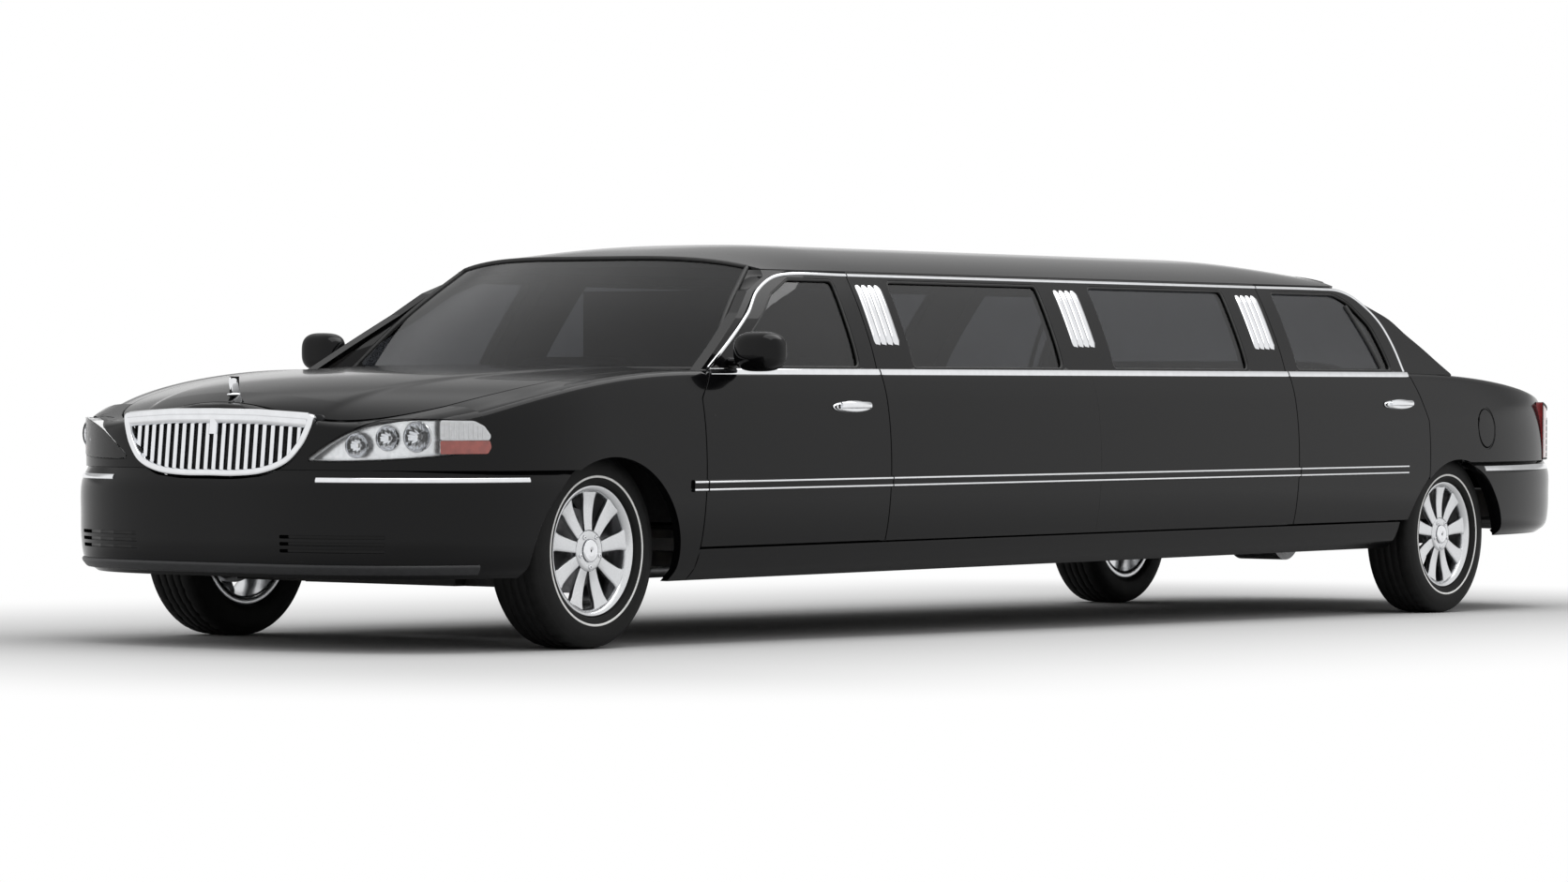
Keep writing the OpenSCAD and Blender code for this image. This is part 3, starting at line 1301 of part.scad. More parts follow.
frame_rails();
floor_pan();
sills();
front_fenders();
nose_panel();
grille();
headlamps();
front_bumper();
hood();
cowl();
windshield();
a_pillars();
roof();
centre_sides();
side_glass();
louvres();
quarter_panels();
rear_window();
rear_shelf();
trunk_lid();
tail_lamps();
rear_bumper();
fuel_door();
door_fl();
door_fr();
door_rl();
door_rr();
glass_fl();
glass_fr();
glass_rl();
glass_rr();
mirror_l();
mirror_r();
knuckle_l();
knuckle_r();
rim_fl();
rim_fr();
rim_rl();
rim_rr();
tyre_fl();
tyre_fr();
tyre_rl();
tyre_rr();
front_crossmember();
rear_axle();
drive_shaft();
exhaust();
engine_block();
dashboard();
steering_wheel();
seats();
partition();
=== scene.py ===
"""Looks of the stretched limousine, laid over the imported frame. Metres."""
import math

import bpy
import numpy as np
from mathutils import Matrix, Vector
from mathutils.geometry import delaunay_2d_cdt


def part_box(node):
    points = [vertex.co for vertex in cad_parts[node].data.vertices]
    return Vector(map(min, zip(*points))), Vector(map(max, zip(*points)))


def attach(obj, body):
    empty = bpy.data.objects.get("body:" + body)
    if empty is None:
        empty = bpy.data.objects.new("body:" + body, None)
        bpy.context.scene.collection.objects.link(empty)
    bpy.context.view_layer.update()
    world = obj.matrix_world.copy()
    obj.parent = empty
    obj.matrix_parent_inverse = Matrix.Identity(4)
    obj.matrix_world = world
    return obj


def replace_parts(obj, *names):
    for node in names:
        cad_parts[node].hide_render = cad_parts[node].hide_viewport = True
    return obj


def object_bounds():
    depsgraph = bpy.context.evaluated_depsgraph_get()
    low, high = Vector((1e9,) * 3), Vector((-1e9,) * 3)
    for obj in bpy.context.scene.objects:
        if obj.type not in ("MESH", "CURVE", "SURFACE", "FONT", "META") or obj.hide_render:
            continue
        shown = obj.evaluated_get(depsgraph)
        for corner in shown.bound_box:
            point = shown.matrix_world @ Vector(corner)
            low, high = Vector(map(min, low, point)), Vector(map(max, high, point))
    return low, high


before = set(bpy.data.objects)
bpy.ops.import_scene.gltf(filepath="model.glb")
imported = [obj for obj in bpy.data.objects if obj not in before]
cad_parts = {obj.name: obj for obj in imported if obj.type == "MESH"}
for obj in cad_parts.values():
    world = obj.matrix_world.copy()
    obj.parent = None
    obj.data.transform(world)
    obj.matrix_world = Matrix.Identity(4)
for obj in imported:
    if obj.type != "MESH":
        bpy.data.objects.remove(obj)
CAD_BOX = [[float(v) for v in corner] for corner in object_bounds()]


def wheel_box(tag):
    """Centre and radius of a tyre."""
    lo, hi = (np.array(c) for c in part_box("tyre_" + tag))
    return (lo + hi) / 2, (hi[2] - lo[2]) / 2


# Sizes read from the frame
FA = wheel_box("fl")[0][0]
RA = wheel_box("rl")[0][0]
TYRE_R = wheel_box("fl")[1]
WHEELBASE = FA - RA
FRONT_OVERHANG = CAD_BOX[1][0] - FA
REAR_OVERHANG = RA - CAD_BOX[0][0]

# Body sizes before the small rise to the rear
HALF_W = 0.995
RAKE_RISE, RAKE_Z = 0.070, 0.455
RAKE = math.asin(RAKE_RISE / WHEELBASE)
SILL_Z, CREASE_Z, MOULD_Z, BELT_Z, DRIP_Z, ROOF_Z = 0.226, 0.345, 0.590, 0.975, 1.352, 1.462
WIN_H = DRIP_Z - BELT_Z
GAP = 0.0035
ROOF_SEAT = DRIP_Z + GAP
ARCH_R, ARCH_DROP = 0.430, 0.100
ARCH_Z = TYRE_R - ARCH_DROP
REAR_ARCH_Z = ARCH_Z - RAKE_RISE
NOSE_L = FRONT_OVERHANG - 0.035
TAIL_L = REAR_OVERHANG - 0.030
FRONT_POW, SIDE_POW, REAR_POW = 2.6, 3.3, 3.2
CREST_SHARE, HOOD_SHARE = 0.942, 0.86

# Share tables: height from sill to belt, narrowing of the half width
SIDE_SHARES = [(0, 0.100), (0.06, 0.058), (0.157, 0.030), (0.30, 0.010), (0.486, 0.000),
               (0.68, 0.004), (0.84, 0.018), (0.94, 0.036), (1.0, 0.058)]
# Height from belt to roof rail, narrowing of the half width
GLASS_SHARES = [(0.02, 0.070), (0.26, 0.110), (0.51, 0.160), (0.76, 0.215), (1.0, 0.275)]
# Share of the run, share of the window height
A_SHARES = [(0, 0), (0.47, 0.56), (0.62, 0.775), (0.81, 0.925), (1.0, 1.0)]
C_SHARES = [(1.0, 1.0), (0.60, 0.95), (0.31, 0.84), (0.06, 0.56), (0, 0)]
A_BASE, A_RUN, C_RUN = 0.620, 0.790, 0.375
FRONT_CUT = FA - 0.535
B_CUT = FRONT_CUT - 1.150
D_CUT = RA + 1.373
C_CUT = D_CUT - 1.010
CUT_LEAN = 0.075
KINK_Z, HIP_Z, HIP_OUT = 0.880, 0.775, 0.105
BUMPER_T = 0.060
BUMPER_TOP, REAR_BUMPER_TOP, BUMPER_LOW = 0.632, 0.592, 0.262
FENDER_FRONT = 0.600
TAIL_END, LAMP_FRONT = 1.230, 0.905
ROOF_HALF = HALF_W * (1 - GLASS_SHARES[-1][1])

# Skins: distance off the solid, radius and depth of the turned-in edge
LIFT, EDGE_R, LIP_DEPTH = 0.0008, 0.0012, 0.012

ROOT = "body"
BOTH = (ROOT, ROOT)
FRONT_DOORS, REAR_DOORS = ("door_fl", "door_fr"), ("door_rl", "door_rr")


def clamp(t):
    return np.clip(t, 0.0, 1.0)


def mix(a, b, t):
    return a + (b - a) * t


def unit(v):
    v = np.asarray(v, float)
    return v / np.maximum(np.linalg.norm(v, axis=-1, keepdims=True), 1e-12)


def signed_power(t, p):
    return np.sign(t) * np.abs(t) ** p


def angles(n):
    """n angles round a full turn."""
    return np.linspace(0, 2 * math.pi, n, endpoint=False)


def level(x, value):
    return np.full_like(x, value)


def plan_w(x):
    """Half width of the body along X."""
    nose = (1 - clamp((x - FA) / NOSE_L) ** FRONT_POW) ** (1 / SIDE_POW)
    tail = (1 - clamp((RA - x) / TAIL_L) ** REAR_POW) ** (1 / REAR_POW)
    return HALF_W * nose * tail


def crest_z(x):
    """Height of the shoulder along X."""
    front = clamp((x - FA + 0.600) / (0.600 + NOSE_L))
    rear = clamp((RA + 0.340 - x) / (0.340 + REAR_OVERHANG))
    return BELT_Z - 0.286 * front ** 2.2 - 0.185 * rear ** 2


def centre_z(x):
    """Height of hood and deck on the centre line."""
    t = clamp((x - FA + 0.850) / (0.850 + NOSE_L - 0.035))
    hood_z = BELT_Z + 0.027 - 0.060 * t - 0.084 * t ** 6
    return np.where(x > 0, hood_z, crest_z(x) + 0.024)


def crest_y(x):
    return plan_w(x) * CREST_SHARE


def top_z(x, y):
    share = np.minimum(1, np.abs(y) / np.maximum(crest_y(x), 1e-6))
    return crest_z(x) + (centre_z(x) - crest_z(x)) * (1 - share ** 2.2)


def side_z(x, s):
    z = mix(SILL_Z, BELT_Z, s)
    return np.where(z < MOULD_Z, z, MOULD_Z + (z - MOULD_Z) * (crest_z(x) - MOULD_Z) / (BELT_Z - MOULD_Z))


def lean(x, z):
    return x - CUT_LEAN * max(0.0, z - BELT_Z) / WIN_H


def rake_dir(n):
    """Directions of the level body, turned to how it stands on its wheels."""
    n = np.asarray(n, float)
    c, s = math.cos(RAKE), math.sin(RAKE)
    return np.stack([n[..., 0] * c + n[..., 2] * s, n[..., 1], n[..., 2] * c - n[..., 0] * s], -1)


def rake(p):
    pivot = np.array([FA, 0, RAKE_Z])
    return rake_dir(np.asarray(p, float) - pivot) + pivot


def hermite(knots, t):
    """Weights of control points for a smooth curve through them, at each t."""
    knots = np.asarray(knots, float)
    t = np.atleast_1d(np.asarray(t, float))
    n = len(knots)
    slope = np.zeros((n, n))
    for i in range(n):
        lo, hi = max(0, i - 1), min(n - 1, i + 1)
        slope[i, hi] += 1 / (knots[hi] - knots[lo])
        slope[i, lo] -= 1 / (knots[hi] - knots[lo])
    k = np.clip(np.searchsorted(knots, t, side="right") - 1, 0, n - 2)
    h = knots[k + 1] - knots[k]
    u = (t - knots[k]) / h
    w = np.zeros((len(t), n))
    rows = np.arange(len(t))
    w[rows, k] += 2 * u ** 3 - 3 * u ** 2 + 1
    w[rows, k + 1] += -2 * u ** 3 + 3 * u ** 2
    w += ((u ** 3 - 2 * u ** 2 + u) * h)[:, None] * slope[k]
    w += ((u ** 3 - u ** 2) * h)[:, None] * slope[k + 1]
    return w


def run_of(pts):
    """Length along a line of points, at each point."""
    return np.concatenate([[0], np.cumsum(np.linalg.norm(np.diff(pts, axis=0), axis=1))])


def curve(points, n):
    """Smooth curve through points."""
    pts = np.asarray(points, float)
    knots = run_of(pts)
    return hermite(knots, np.linspace(0, knots[-1], n)) @ pts


# Body surfaces

def wing_controls(x):
    """Points of the half section at each x: side, shoulder and a strip of the top."""
    x = np.atleast_1d(np.asarray(x, float))
    w = plan_w(x)
    pts = [np.stack([x, w * (1 - n), side_z(x, s)], -1) for s, n in SIDE_SHARES]
    for share in (0.94, HOOD_SHARE):
        y = crest_y(x) * share
        pts.append(np.stack([x, y, top_z(x, y)], -1))
    return np.stack(pts, 1)


WING_KNOTS = run_of(wing_controls(0.0)[0])
T_BELT, T_TOP = WING_KNOTS[len(SIDE_SHARES) - 1], WING_KNOTS[-1]


def wing(a, b):
    """Point of the side at x = a and distance b up the section."""
    a, b = np.atleast_1d(a), np.atleast_1d(b)
    return np.einsum("ij,ijk->ik", hermite(WING_KNOTS, b), wing_controls(a))


def wing_t(x, z):
    """Distance up the section at which the side is z high."""
    ts = np.linspace(0, T_BELT, 160)
    return float(np.interp(z, wing(level(ts, x), ts)[:, 2], ts))


def on_wing(pts):
    return [(x, wing_t(x, z)) for x, z in pts]


FRAME_Z = np.array([BELT_Z + s * WIN_H for s, _ in GLASS_SHARES])
FRAME_Y = np.array([HALF_W * (1 - n) for _, n in GLASS_SHARES])


def window(a, b, inset=0.0):
    """Point of the window surface at x = a and height b."""
    a, b = np.atleast_1d(a).astype(float), np.atleast_1d(b).astype(float)
    y = hermite(FRAME_Z, np.clip(b, FRAME_Z[0], FRAME_Z[-1] + 0.01)) @ FRAME_Y
    return np.stack([a, y - inset, b], -1)


def bow(deg, length, inset, p, q):
    r = np.radians(deg)
    y = (HALF_W - inset) * np.abs(np.sin(r)) ** (2 / q) * np.sign(r)
    return (length - inset) * np.abs(np.cos(r)) ** (2 / p), y


def front_bow(deg, length, inset):
    x, y = bow(deg, length, inset, FRONT_POW, SIDE_POW)
    return FA + x, y


def rear_bow(deg, length, inset):
    x, y = bow(deg, length, inset, REAR_POW, REAR_POW)
    return RA - x, y


# Mesh tools

def normals_of(surf, a, b, face=1, eps=2e-4):
    """face is 1 where the cross product of the surface's two directions points outward, else -1."""
    n = np.cross(surf(a + eps, b) - surf(a - eps, b), surf(a, b + eps) - surf(a, b - eps))
    return unit(n) * face


def on(surf, a, b, face=1):
    """Points of a surface with their normals."""
    return surf(a, b), normals_of(surf, a, b, face)


def quads(m, k, loop_m=False, loop_k=False, back=False):
    """Faces of a grid of m rows of k points, closed round either way where asked, or run round backward."""
    faces = [(i * k + j, i * k + (j + 1) % k, (i + 1) % m * k + (j + 1) % k, (i + 1) % m * k + j)
             for i in range(m if loop_m else m - 1) for j in range(k if loop_k else k - 1)]
    return [f[:1] + f[:0:-1] for f in faces] if back else faces


def rim_of(m, k):
    """Points round the edge of a grid of m rows of k points."""
    return (list(range(k)) + [i * k + k - 1 for i in range(1, m)]
            + [(m - 1) * k + j for j in range(k - 2, -1, -1)] + [i * k for i in range(m - 2, 0, -1)])


def add(name, verts, faces, body, material, normals=None):
    """A mesh piece that rides on a body."""
    mesh = bpy.data.meshes.new(name)
    mesh.from_pydata([tuple(map(float, v)) for v in verts], [], [tuple(int(i) for i in f) for f in faces])
    mesh.validate(clean_customdata=False)
    mesh.shade_smooth()
    if normals is not None and len(mesh.vertices) == len(normals):
        mesh.normals_split_custom_set_from_vertices([tuple(map(float, n)) for n in normals])
    obj = bpy.data.objects.new(name, mesh)
    bpy.context.scene.collection.objects.link(obj)
    mesh.materials.append(material)
    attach(obj, body)
    return obj


class Bag:
    """Vertices, faces and normals that end up in one mesh."""

    def __init__(self):
        self.v, self.f, self.n = [], [], []

    def count(self):
        return sum(len(v) for v in self.v)

    def put(self, verts, faces, normals):
        """Faces are turned so that they agree with the normals."""
        base = self.count()
        verts, normals = np.asarray(verts, float), np.asarray(normals, float)
        tri = np.array([f[:3] for f in faces])
        turn = np.cross(verts[tri[:, 1]] - verts[tri[:, 0]], verts[tri[:, 2]] - verts[tri[:, 0]])
        against = np.einsum("ij,ij->i", turn, normals[tri].sum(1)) < 0
        self.v.append(verts)
        self.n.append(normals)
        self.f += [tuple(int(i) + base for i in (f[::-1] if a and len(f) < 5 else f))
                   for f, a in zip(faces, against)]
        return self

    def close(self, walls):
        """Side walls between two skins, turned outward as a whole."""
        v, q = np.vstack(self.v), np.array(walls)
        turn = np.cross(v[q[:, 1]] - v[q[:, 0]], v[q[:, 2]] - v[q[:, 0]])
        if np.einsum("ij,ij->i", turn, v[q].mean(1) - v[q].mean((0, 1))).sum() < 0:
            q = q[:, ::-1]
        self.f += [tuple(int(i) for i in f) for f in q]
        return self

    def join(self, *bags):
        for b in bags:
            base = self.count()
            self.v += b.v
            self.n += b.n
            self.f += [tuple(i + base for i in f) for f in b.f]
        return self

    def lip(self, p, n, away, depth):
        """Turned-in edge along a closed line of points: a small round, then a wall."""
        rings = [(p, n), (p + (away * 0.7 - n * 0.3) * EDGE_R, unit(away + n)), (p + (away - n) * EDGE_R, away),
                 (p + away * EDGE_R - n * depth, away)]
        return self.put(np.vstack([rake(r[0]) for r in rings]), quads(len(rings), len(p), loop_k=True),
                        np.vstack([rake_dir(r[1]) for r in rings]))

    def sweep(self, path, normal, profile, closed=False):
        """Section pushed along a path. The profile is given across the path and along the normal."""
        path, normal, profile = np.asarray(path, float), unit(normal), np.asarray(profile, float)
        t = unit(np.roll(path, -1, 0) - np.roll(path, 1, 0) if closed else np.gradient(path, axis=0))
        side = unit(np.cross(normal, t))
        normal = unit(np.cross(t, side))
        k, m = len(profile), len(path)
        d = np.roll(profile, -1, 0) - np.roll(profile, 1, 0)
        out = unit(np.stack([d[:, 1], -d[:, 0]], -1))
        out *= -1 if np.sum(out * (profile - profile.mean(0))) < 0 else 1
        pts, nrm = (side[:, None] * q[None, :, :1] + normal[:, None] * q[None, :, 1:] for q in (profile, out))
        pts = path[:, None] + pts
        self.put(rake(pts.reshape(-1, 3)), quads(m, k, closed, True, True), rake_dir(nrm.reshape(-1, 3)))
        for row, way in () if closed else ((0, -1), (m - 1, 1)):
            cap, order = pts[row], tuple(range(k))
            turn = np.cross(cap[k // 3] - cap[0], cap[2 * k // 3] - cap[0])
            order = order[::-1] if np.dot(turn, t[row] * way) < 0 else order
            self.put(rake(cap), [order], np.tile(rake_dir(t[row] * way), (k, 1)))
        return self

    def lathe(self, profile, n, centre, side):
        """Closed profile of radius and distance along the axle, turned about the axle."""
        profile = np.asarray(profile, float)
        d = np.roll(profile, -1, 0) - np.roll(profile, 1, 0)
        out = unit(np.stack([d[:, 1], -d[:, 0]], -1))
        out *= -1 if np.sum(out * (profile - profile.mean(0))) < 0 else 1
        c, s = np.cos(angles(n))[:, None], np.sin(angles(n))[:, None]
        pts, nrm = (np.stack([q[:, 0] * c, q[:, 1] * side + 0 * c, q[:, 0] * s], -1).reshape(-1, 3)
                    for q in (profile, out))
        return self.put(pts + np.asarray(centre), quads(n, len(profile), True, True, True), nrm)

    def loft(self, rings):
        """Closed rings joined one after another, with flat ends."""
        rings = np.asarray(rings, float)
        m, k = rings.shape[:2]
        n = unit(np.cross(np.gradient(rings, axis=0), np.roll(rings, -1, 1) - np.roll(rings, 1, 1)))
        n *= np.sign(np.sum(n * (rings - rings.mean(1, keepdims=True)), -1, keepdims=True))
        ends = [tuple(range(k)), tuple(range((m - 1) * k, m * k))]
        return self.put(rings.reshape(-1, 3), quads(m, k, loop_k=True, back=True) + ends, n.reshape(-1, 3))

    def sheet(self, rows, face=1):
        """Open grid of points."""
        n = unit(np.cross(np.gradient(rows, axis=1), np.gradient(rows, axis=0))) * face
        return self.put(rows.reshape(-1, 3), quads(*rows.shape[:2]), n.reshape(-1, 3))

    def mirrored(self):
        m, flip = Bag(), np.array([1, -1, 1])
        m.v = [v * flip for v in self.v]
        m.n = [n * flip for n in self.n]
        m.f = [tuple(reversed(f)) for f in self.f]
        return m

    def add(self, name, body, material, slot):
        return add(name, np.vstack(self.v), self.f, body, material, np.vstack(self.n))


def pair(bag, name, bodies, material, slot, nodes=()):
    """The same piece on both sides, and the nodes that they replace."""
    pieces = [bag.add(name + "_l", bodies[0], material, slot),
              bag.mirrored().add(name + "_r", bodies[1], material, slot)]
    for piece, node_name in zip(pieces, nodes):
        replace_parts(piece, node_name)


def inside(poly, pts):
    """Which points lie inside a closed outline."""
    hit = np.zeros(len(pts), bool)
    for (x0, y0), (x1, y1) in zip(poly, np.roll(poly, -1, 0)):
        if y0 != y1:
            cross = (y0 > pts[:, 1]) != (y1 > pts[:, 1])
            hit ^= cross & (pts[:, 0] < (x1 - x0) * (pts[:, 1] - y0) / (y1 - y0) + x0)
    return hit


def inside_all(loops, pts):
    """Which points lie inside the first outline and outside the others."""
    keep = inside(loops[0], pts)
    for loop in loops[1:]:
        keep &= ~inside(loop, pts)
    return keep


def dense(loop, step):
    """Outline with points no further apart than step."""
    loop = np.asarray(loop, float)
    out = []
    for p, q in zip(loop, np.roll(loop, -1, 0)):
        n = max(1, int(math.ceil(np.linalg.norm(q - p) / step)))
        out += [p + (q - p) * i / n for i in range(n)]
    return np.array(out)


def rounded(loop, r, n=5):
    """Outline with its corners rounded."""
    loop = [np.asarray(p, float) for p in loop]
    out = []
    for i, p in enumerate(loop):
        a, b = loop[i - 1], loop[(i + 1) % len(loop)]
        if np.dot(unit(p - a), unit(b - p)) > 0.97:
            out.append(p)
            continue
        da, db = np.linalg.norm(a - p), np.linalg.norm(b - p)
        d = min(r, 0.45 * da, 0.45 * db)
        s, e = p + (a - p) / da * d, p + (b - p) / db * d
        out += [s * (1 - t) ** 2 + p * 2 * t * (1 - t) + e * t * t for t in np.linspace(0, 1, n)]
    return np.array(out)


def clipped(loop, z0, z1):
    """Outline cut off below z0 and above z1."""
    for limit, keep in ((z0, 1), (z1, -1)):
        out = []
        for p, q in zip(loop, list(loop[1:]) + [loop[0]]):
            p_in, q_in = (p[1] - limit) * keep >= 0, (q[1] - limit) * keep >= 0
            if p_in:
                out.append(p)
            if p_in != q_in:
                out.append((mix(p[0], q[0], (limit - p[1]) / (q[1] - p[1])), limit))
        loop = out
    return loop


def out_of(loop):
    """Outward directions along a closed outline."""
    loop = np.asarray(loop, float)
    area = np.sum(loop[:, 0] * np.roll(loop[:, 1], -1) - np.roll(loop[:, 0], -1) * loop[:, 1])
    t = unit(np.roll(loop, -1, 0) - np.roll(loop, 1, 0))
    return np.stack([t[:, 1], -t[:, 0]], -1) * (1 if area > 0 else -1)


def grown(loop, d):
    """Closed outline moved outward by d."""
    return np.asarray(loop, float) + out_of(loop) * d


def panel(surf, loops, step=0.018, lift=LIFT, lip=LIP_DEPTH, face=1):
    """Skin on a surface inside the first outline and outside the others, with turned-in edges."""
    loops = [dense(loop, step) for loop in loops]
    lo, hi = loops[0].min(0), loops[0].max(0)
    grid = np.array([(x, y) for x in np.arange(lo[0] + step, hi[0], step * 2.2)
                     for y in np.arange(lo[1] + step, hi[1], step * 1.1)]).reshape(-1, 2)
    grid = grid[inside_all(loops, grid)]
    far = np.ones(len(grid), bool)
    for p in np.vstack(loops):
        far &= ~np.all(np.abs(grid - p) < step * 0.6, axis=1)
    edges, base = [], 0
    for loop in loops:
        edges += [(base + i, base + (i + 1) % len(loop)) for i in range(len(loop))]
        base += len(loop)
    pts = np.vstack(loops + [grid[far]])
    vs, _, fs, _, _, _ = delaunay_2d_cdt([Vector(p) for p in pts], edges, [], 0, 1e-7)
    uv = np.array([(v.x, v.y) for v in vs])
    tri = np.array([tuple(f) for f in fs])
    tri = tri[inside_all(loops, uv[tri].mean(1))]
    pos, nrm = on(surf, uv[:, 0], uv[:, 1], face)
    bag = Bag().put(rake(pos + nrm * lift), [tuple(t) for t in tri], rake_dir(nrm))
    for k, loop in enumerate(loops if lip else ()):
        away, eps = out_of(loop) * (1 if k == 0 else -1), 1e-4
        p, n = on(surf, loop[:, 0], loop[:, 1], face)
        bag.lip(p + n * lift, n, unit(surf(*(loop + away * eps).T) - surf(*(loop - away * eps).T)), lip)
    return bag


def patch(surf, nu, nv, lift=LIFT, face=1, lip=LIP_DEPTH):
    """Skin over a whole surface of two shares from 0 to 1."""
    u, v = (t.ravel() for t in np.meshgrid(np.linspace(0, 1, nu), np.linspace(0, 1, nv), indexing="ij"))
    eps = 1e-4
    lo_u, hi_u, lo_v, hi_v = (clamp(t) for t in (u - eps, u + eps, v - eps, v + eps))
    n = unit(np.cross(surf(hi_u, v) - surf(lo_u, v), surf(u, hi_v) - surf(u, lo_v))) * face
    p = surf(u, v) + n * lift
    bag = Bag().put(rake(p), quads(nu, nv, back=True), rake_dir(n))
    if lip:
        rim = rim_of(nu, nv)
        q, m = p[rim], n[rim]
        away = unit(np.cross(unit(np.roll(q, -1, 0) - np.roll(q, 1, 0)), m))
        bag.lip(q, m, away * np.sign(np.einsum("ij,ij->i", away, q - p.mean(0)))[:, None], lip)
    return bag


def slab(surf_out, surf_in, loop, step, face):
    """Closed shell between two surfaces over the same outline."""
    bag, low = (panel(surf, [loop], face=face, step=step, lift=0, lip=0) for surf in (surf_out, surf_in))
    base, n = bag.count(), len(dense(loop, step))
    bag.put(np.vstack(low.v), [f[::-1] for f in low.f], -np.vstack(low.n))
    return bag.close([(i, (i + 1) % n, base + (i + 1) % n, base + i) for i in range(n)])


def closed_patch(outer, inner, nu, nv, face):
    """Closed shell between two surfaces of shares."""
    bag, low = patch(outer, nu, nv, 0, face, 0), patch(inner, nu, nv, 0, -face, 0)
    n, rim = nu * nv, rim_of(nu, nv)
    bag.put(np.vstack(low.v), low.f, np.vstack(low.n))
    return bag.close([(a, b, n + b, n + a) for a, b in zip(rim, rim[1:] + rim[:1])])


def strip(width, height, n=9, power=3.0):
    """Rounded bar: width across, height out of the surface, flat below."""
    a = np.linspace(0, math.pi, n)
    top = zip(width / 2 * signed_power(np.cos(a), 2 / power), height * np.abs(np.sin(a)) ** (2 / power))
    return list(top) + [(-width / 2, -0.004), (width / 2, -0.004)]


def oval(a, b, n):
    return [(a * math.cos(t), b * math.sin(t)) for t in angles(n)]


def half_oval(a, b, base, foot, deep):
    """Half round on a narrow foot."""
    top = [(a * math.cos(t), base + b * math.sin(t)) for t in np.linspace(0, math.pi, 11)]
    return top + [(-foot, deep), (foot, deep)]


def ellipsoid(r, p, n_u=28, n_v=40):
    """Rounded box of three radii round the origin."""
    u, v = np.linspace(-math.pi / 2, math.pi / 2, n_u), angles(n_v)
    cu, su = signed_power(np.cos(u), 2 / p), signed_power(np.sin(u), 2 / p)
    pts = np.stack([np.outer(cu, signed_power(np.cos(v), 2 / p)), np.outer(cu, signed_power(np.sin(v), 2 / p)),
                    np.outer(su, np.ones_like(v))], -1)
    nrm = unit(np.sign(pts) * np.abs(pts) ** (p - 1) / np.asarray(r))
    return (pts * np.asarray(r)).reshape(-1, 3), quads(n_u, n_v, loop_k=True), nrm.reshape(-1, 3)




# Materials

def wire(tree, target, **values):
    """Set or link a node's inputs by name, or by number after an i."""
    for key, value in values.items():
        socket = target.inputs[int(key[1:]) if key[1:].isdigit() else key.replace("_", " ")]
        if isinstance(value, bpy.types.NodeSocket):
            tree.links.new(value, socket)
        else:
            socket.default_value = value
    return target


def node(tree, kind, op=None, **values):
    """New shader node with its inputs set or linked."""
    new = tree.nodes.new("ShaderNode" + kind)
    if op:
        new.operation = op
    return wire(tree, new, **values)


def math_node(tree, op, a, b=0.0):
    return node(tree, "Math", op, i0=a, i1=b).outputs[0]


def finish(name, colour, rough, metal=0.0, tint=0.12, spots=40.0, rough_span=0.06, grain=0.0, grain_scale=300.0,
           coat=0.0, coat_rough=0.03, clear=0.0, ior=1.45, spec=0.5, other=None, wave=None):
    """Node material: colour and roughness vary with noise, and a fine grain gives relief."""
    m = bpy.data.materials.new(name)
    m.use_nodes = True
    nt = m.node_tree
    shader = nt.nodes["Principled BSDF"]
    where = node(nt, "TexCoord").outputs["Object"]
    noise = node(nt, "TexNoise", Vector=where, Scale=spots, Detail=4.0).outputs["Fac"]
    ramp = node(nt, "ValToRGB", Fac=noise)
    dark, light = ramp.color_ramp.elements
    dark.position, light.position = 0.35, 0.65
    dark.color = (*[c * (1 - tint) for c in colour], 1)
    light.color = (*(other or [min(1.0, c * (1 + tint)) for c in colour]), 1)
    span = node(nt, "MapRange", Value=noise, To_Min=max(0.0, rough - rough_span), To_Max=rough + rough_span)
    wire(nt, shader, Base_Color=ramp.outputs["Color"], Roughness=span.outputs["Result"], Metallic=metal,
         Coat_Weight=coat, Coat_Roughness=coat_rough, Transmission_Weight=clear, IOR=ior, Specular_IOR_Level=spec)
    if grain:
        fine = node(nt, "TexWave" if wave else "TexNoise", Vector=where, Scale=grain_scale)
        if wave:
            fine.bands_direction = wave
        bump = node(nt, "Bump", Strength=grain, Distance=0.001, Height=fine.outputs["Fac"])
        wire(nt, shader, Normal=bump.outputs["Normal"])
    return m


def thin_glass(name, colour, tint):
    """Thin clear cover: light goes straight through, the surface shines at low angles."""
    m = finish(name, colour, 0.02, tint=tint, spots=8)
    nt = m.node_tree
    ramp = next(n for n in nt.nodes if n.type == "VALTORGB")
    both = node(nt, "MixShader", Fac=node(nt, "Fresnel", IOR=1.45).outputs["Fac"],
                i1=node(nt, "BsdfTransparent", Color=ramp.outputs["Color"]).outputs["BSDF"],
                i2=node(nt, "BsdfGlossy", Roughness=0.02).outputs["BSDF"])
    nt.nodes.remove(nt.nodes["Principled BSDF"])
    wire(nt, nt.nodes["Material Output"], Surface=both.outputs["Shader"])
    return m


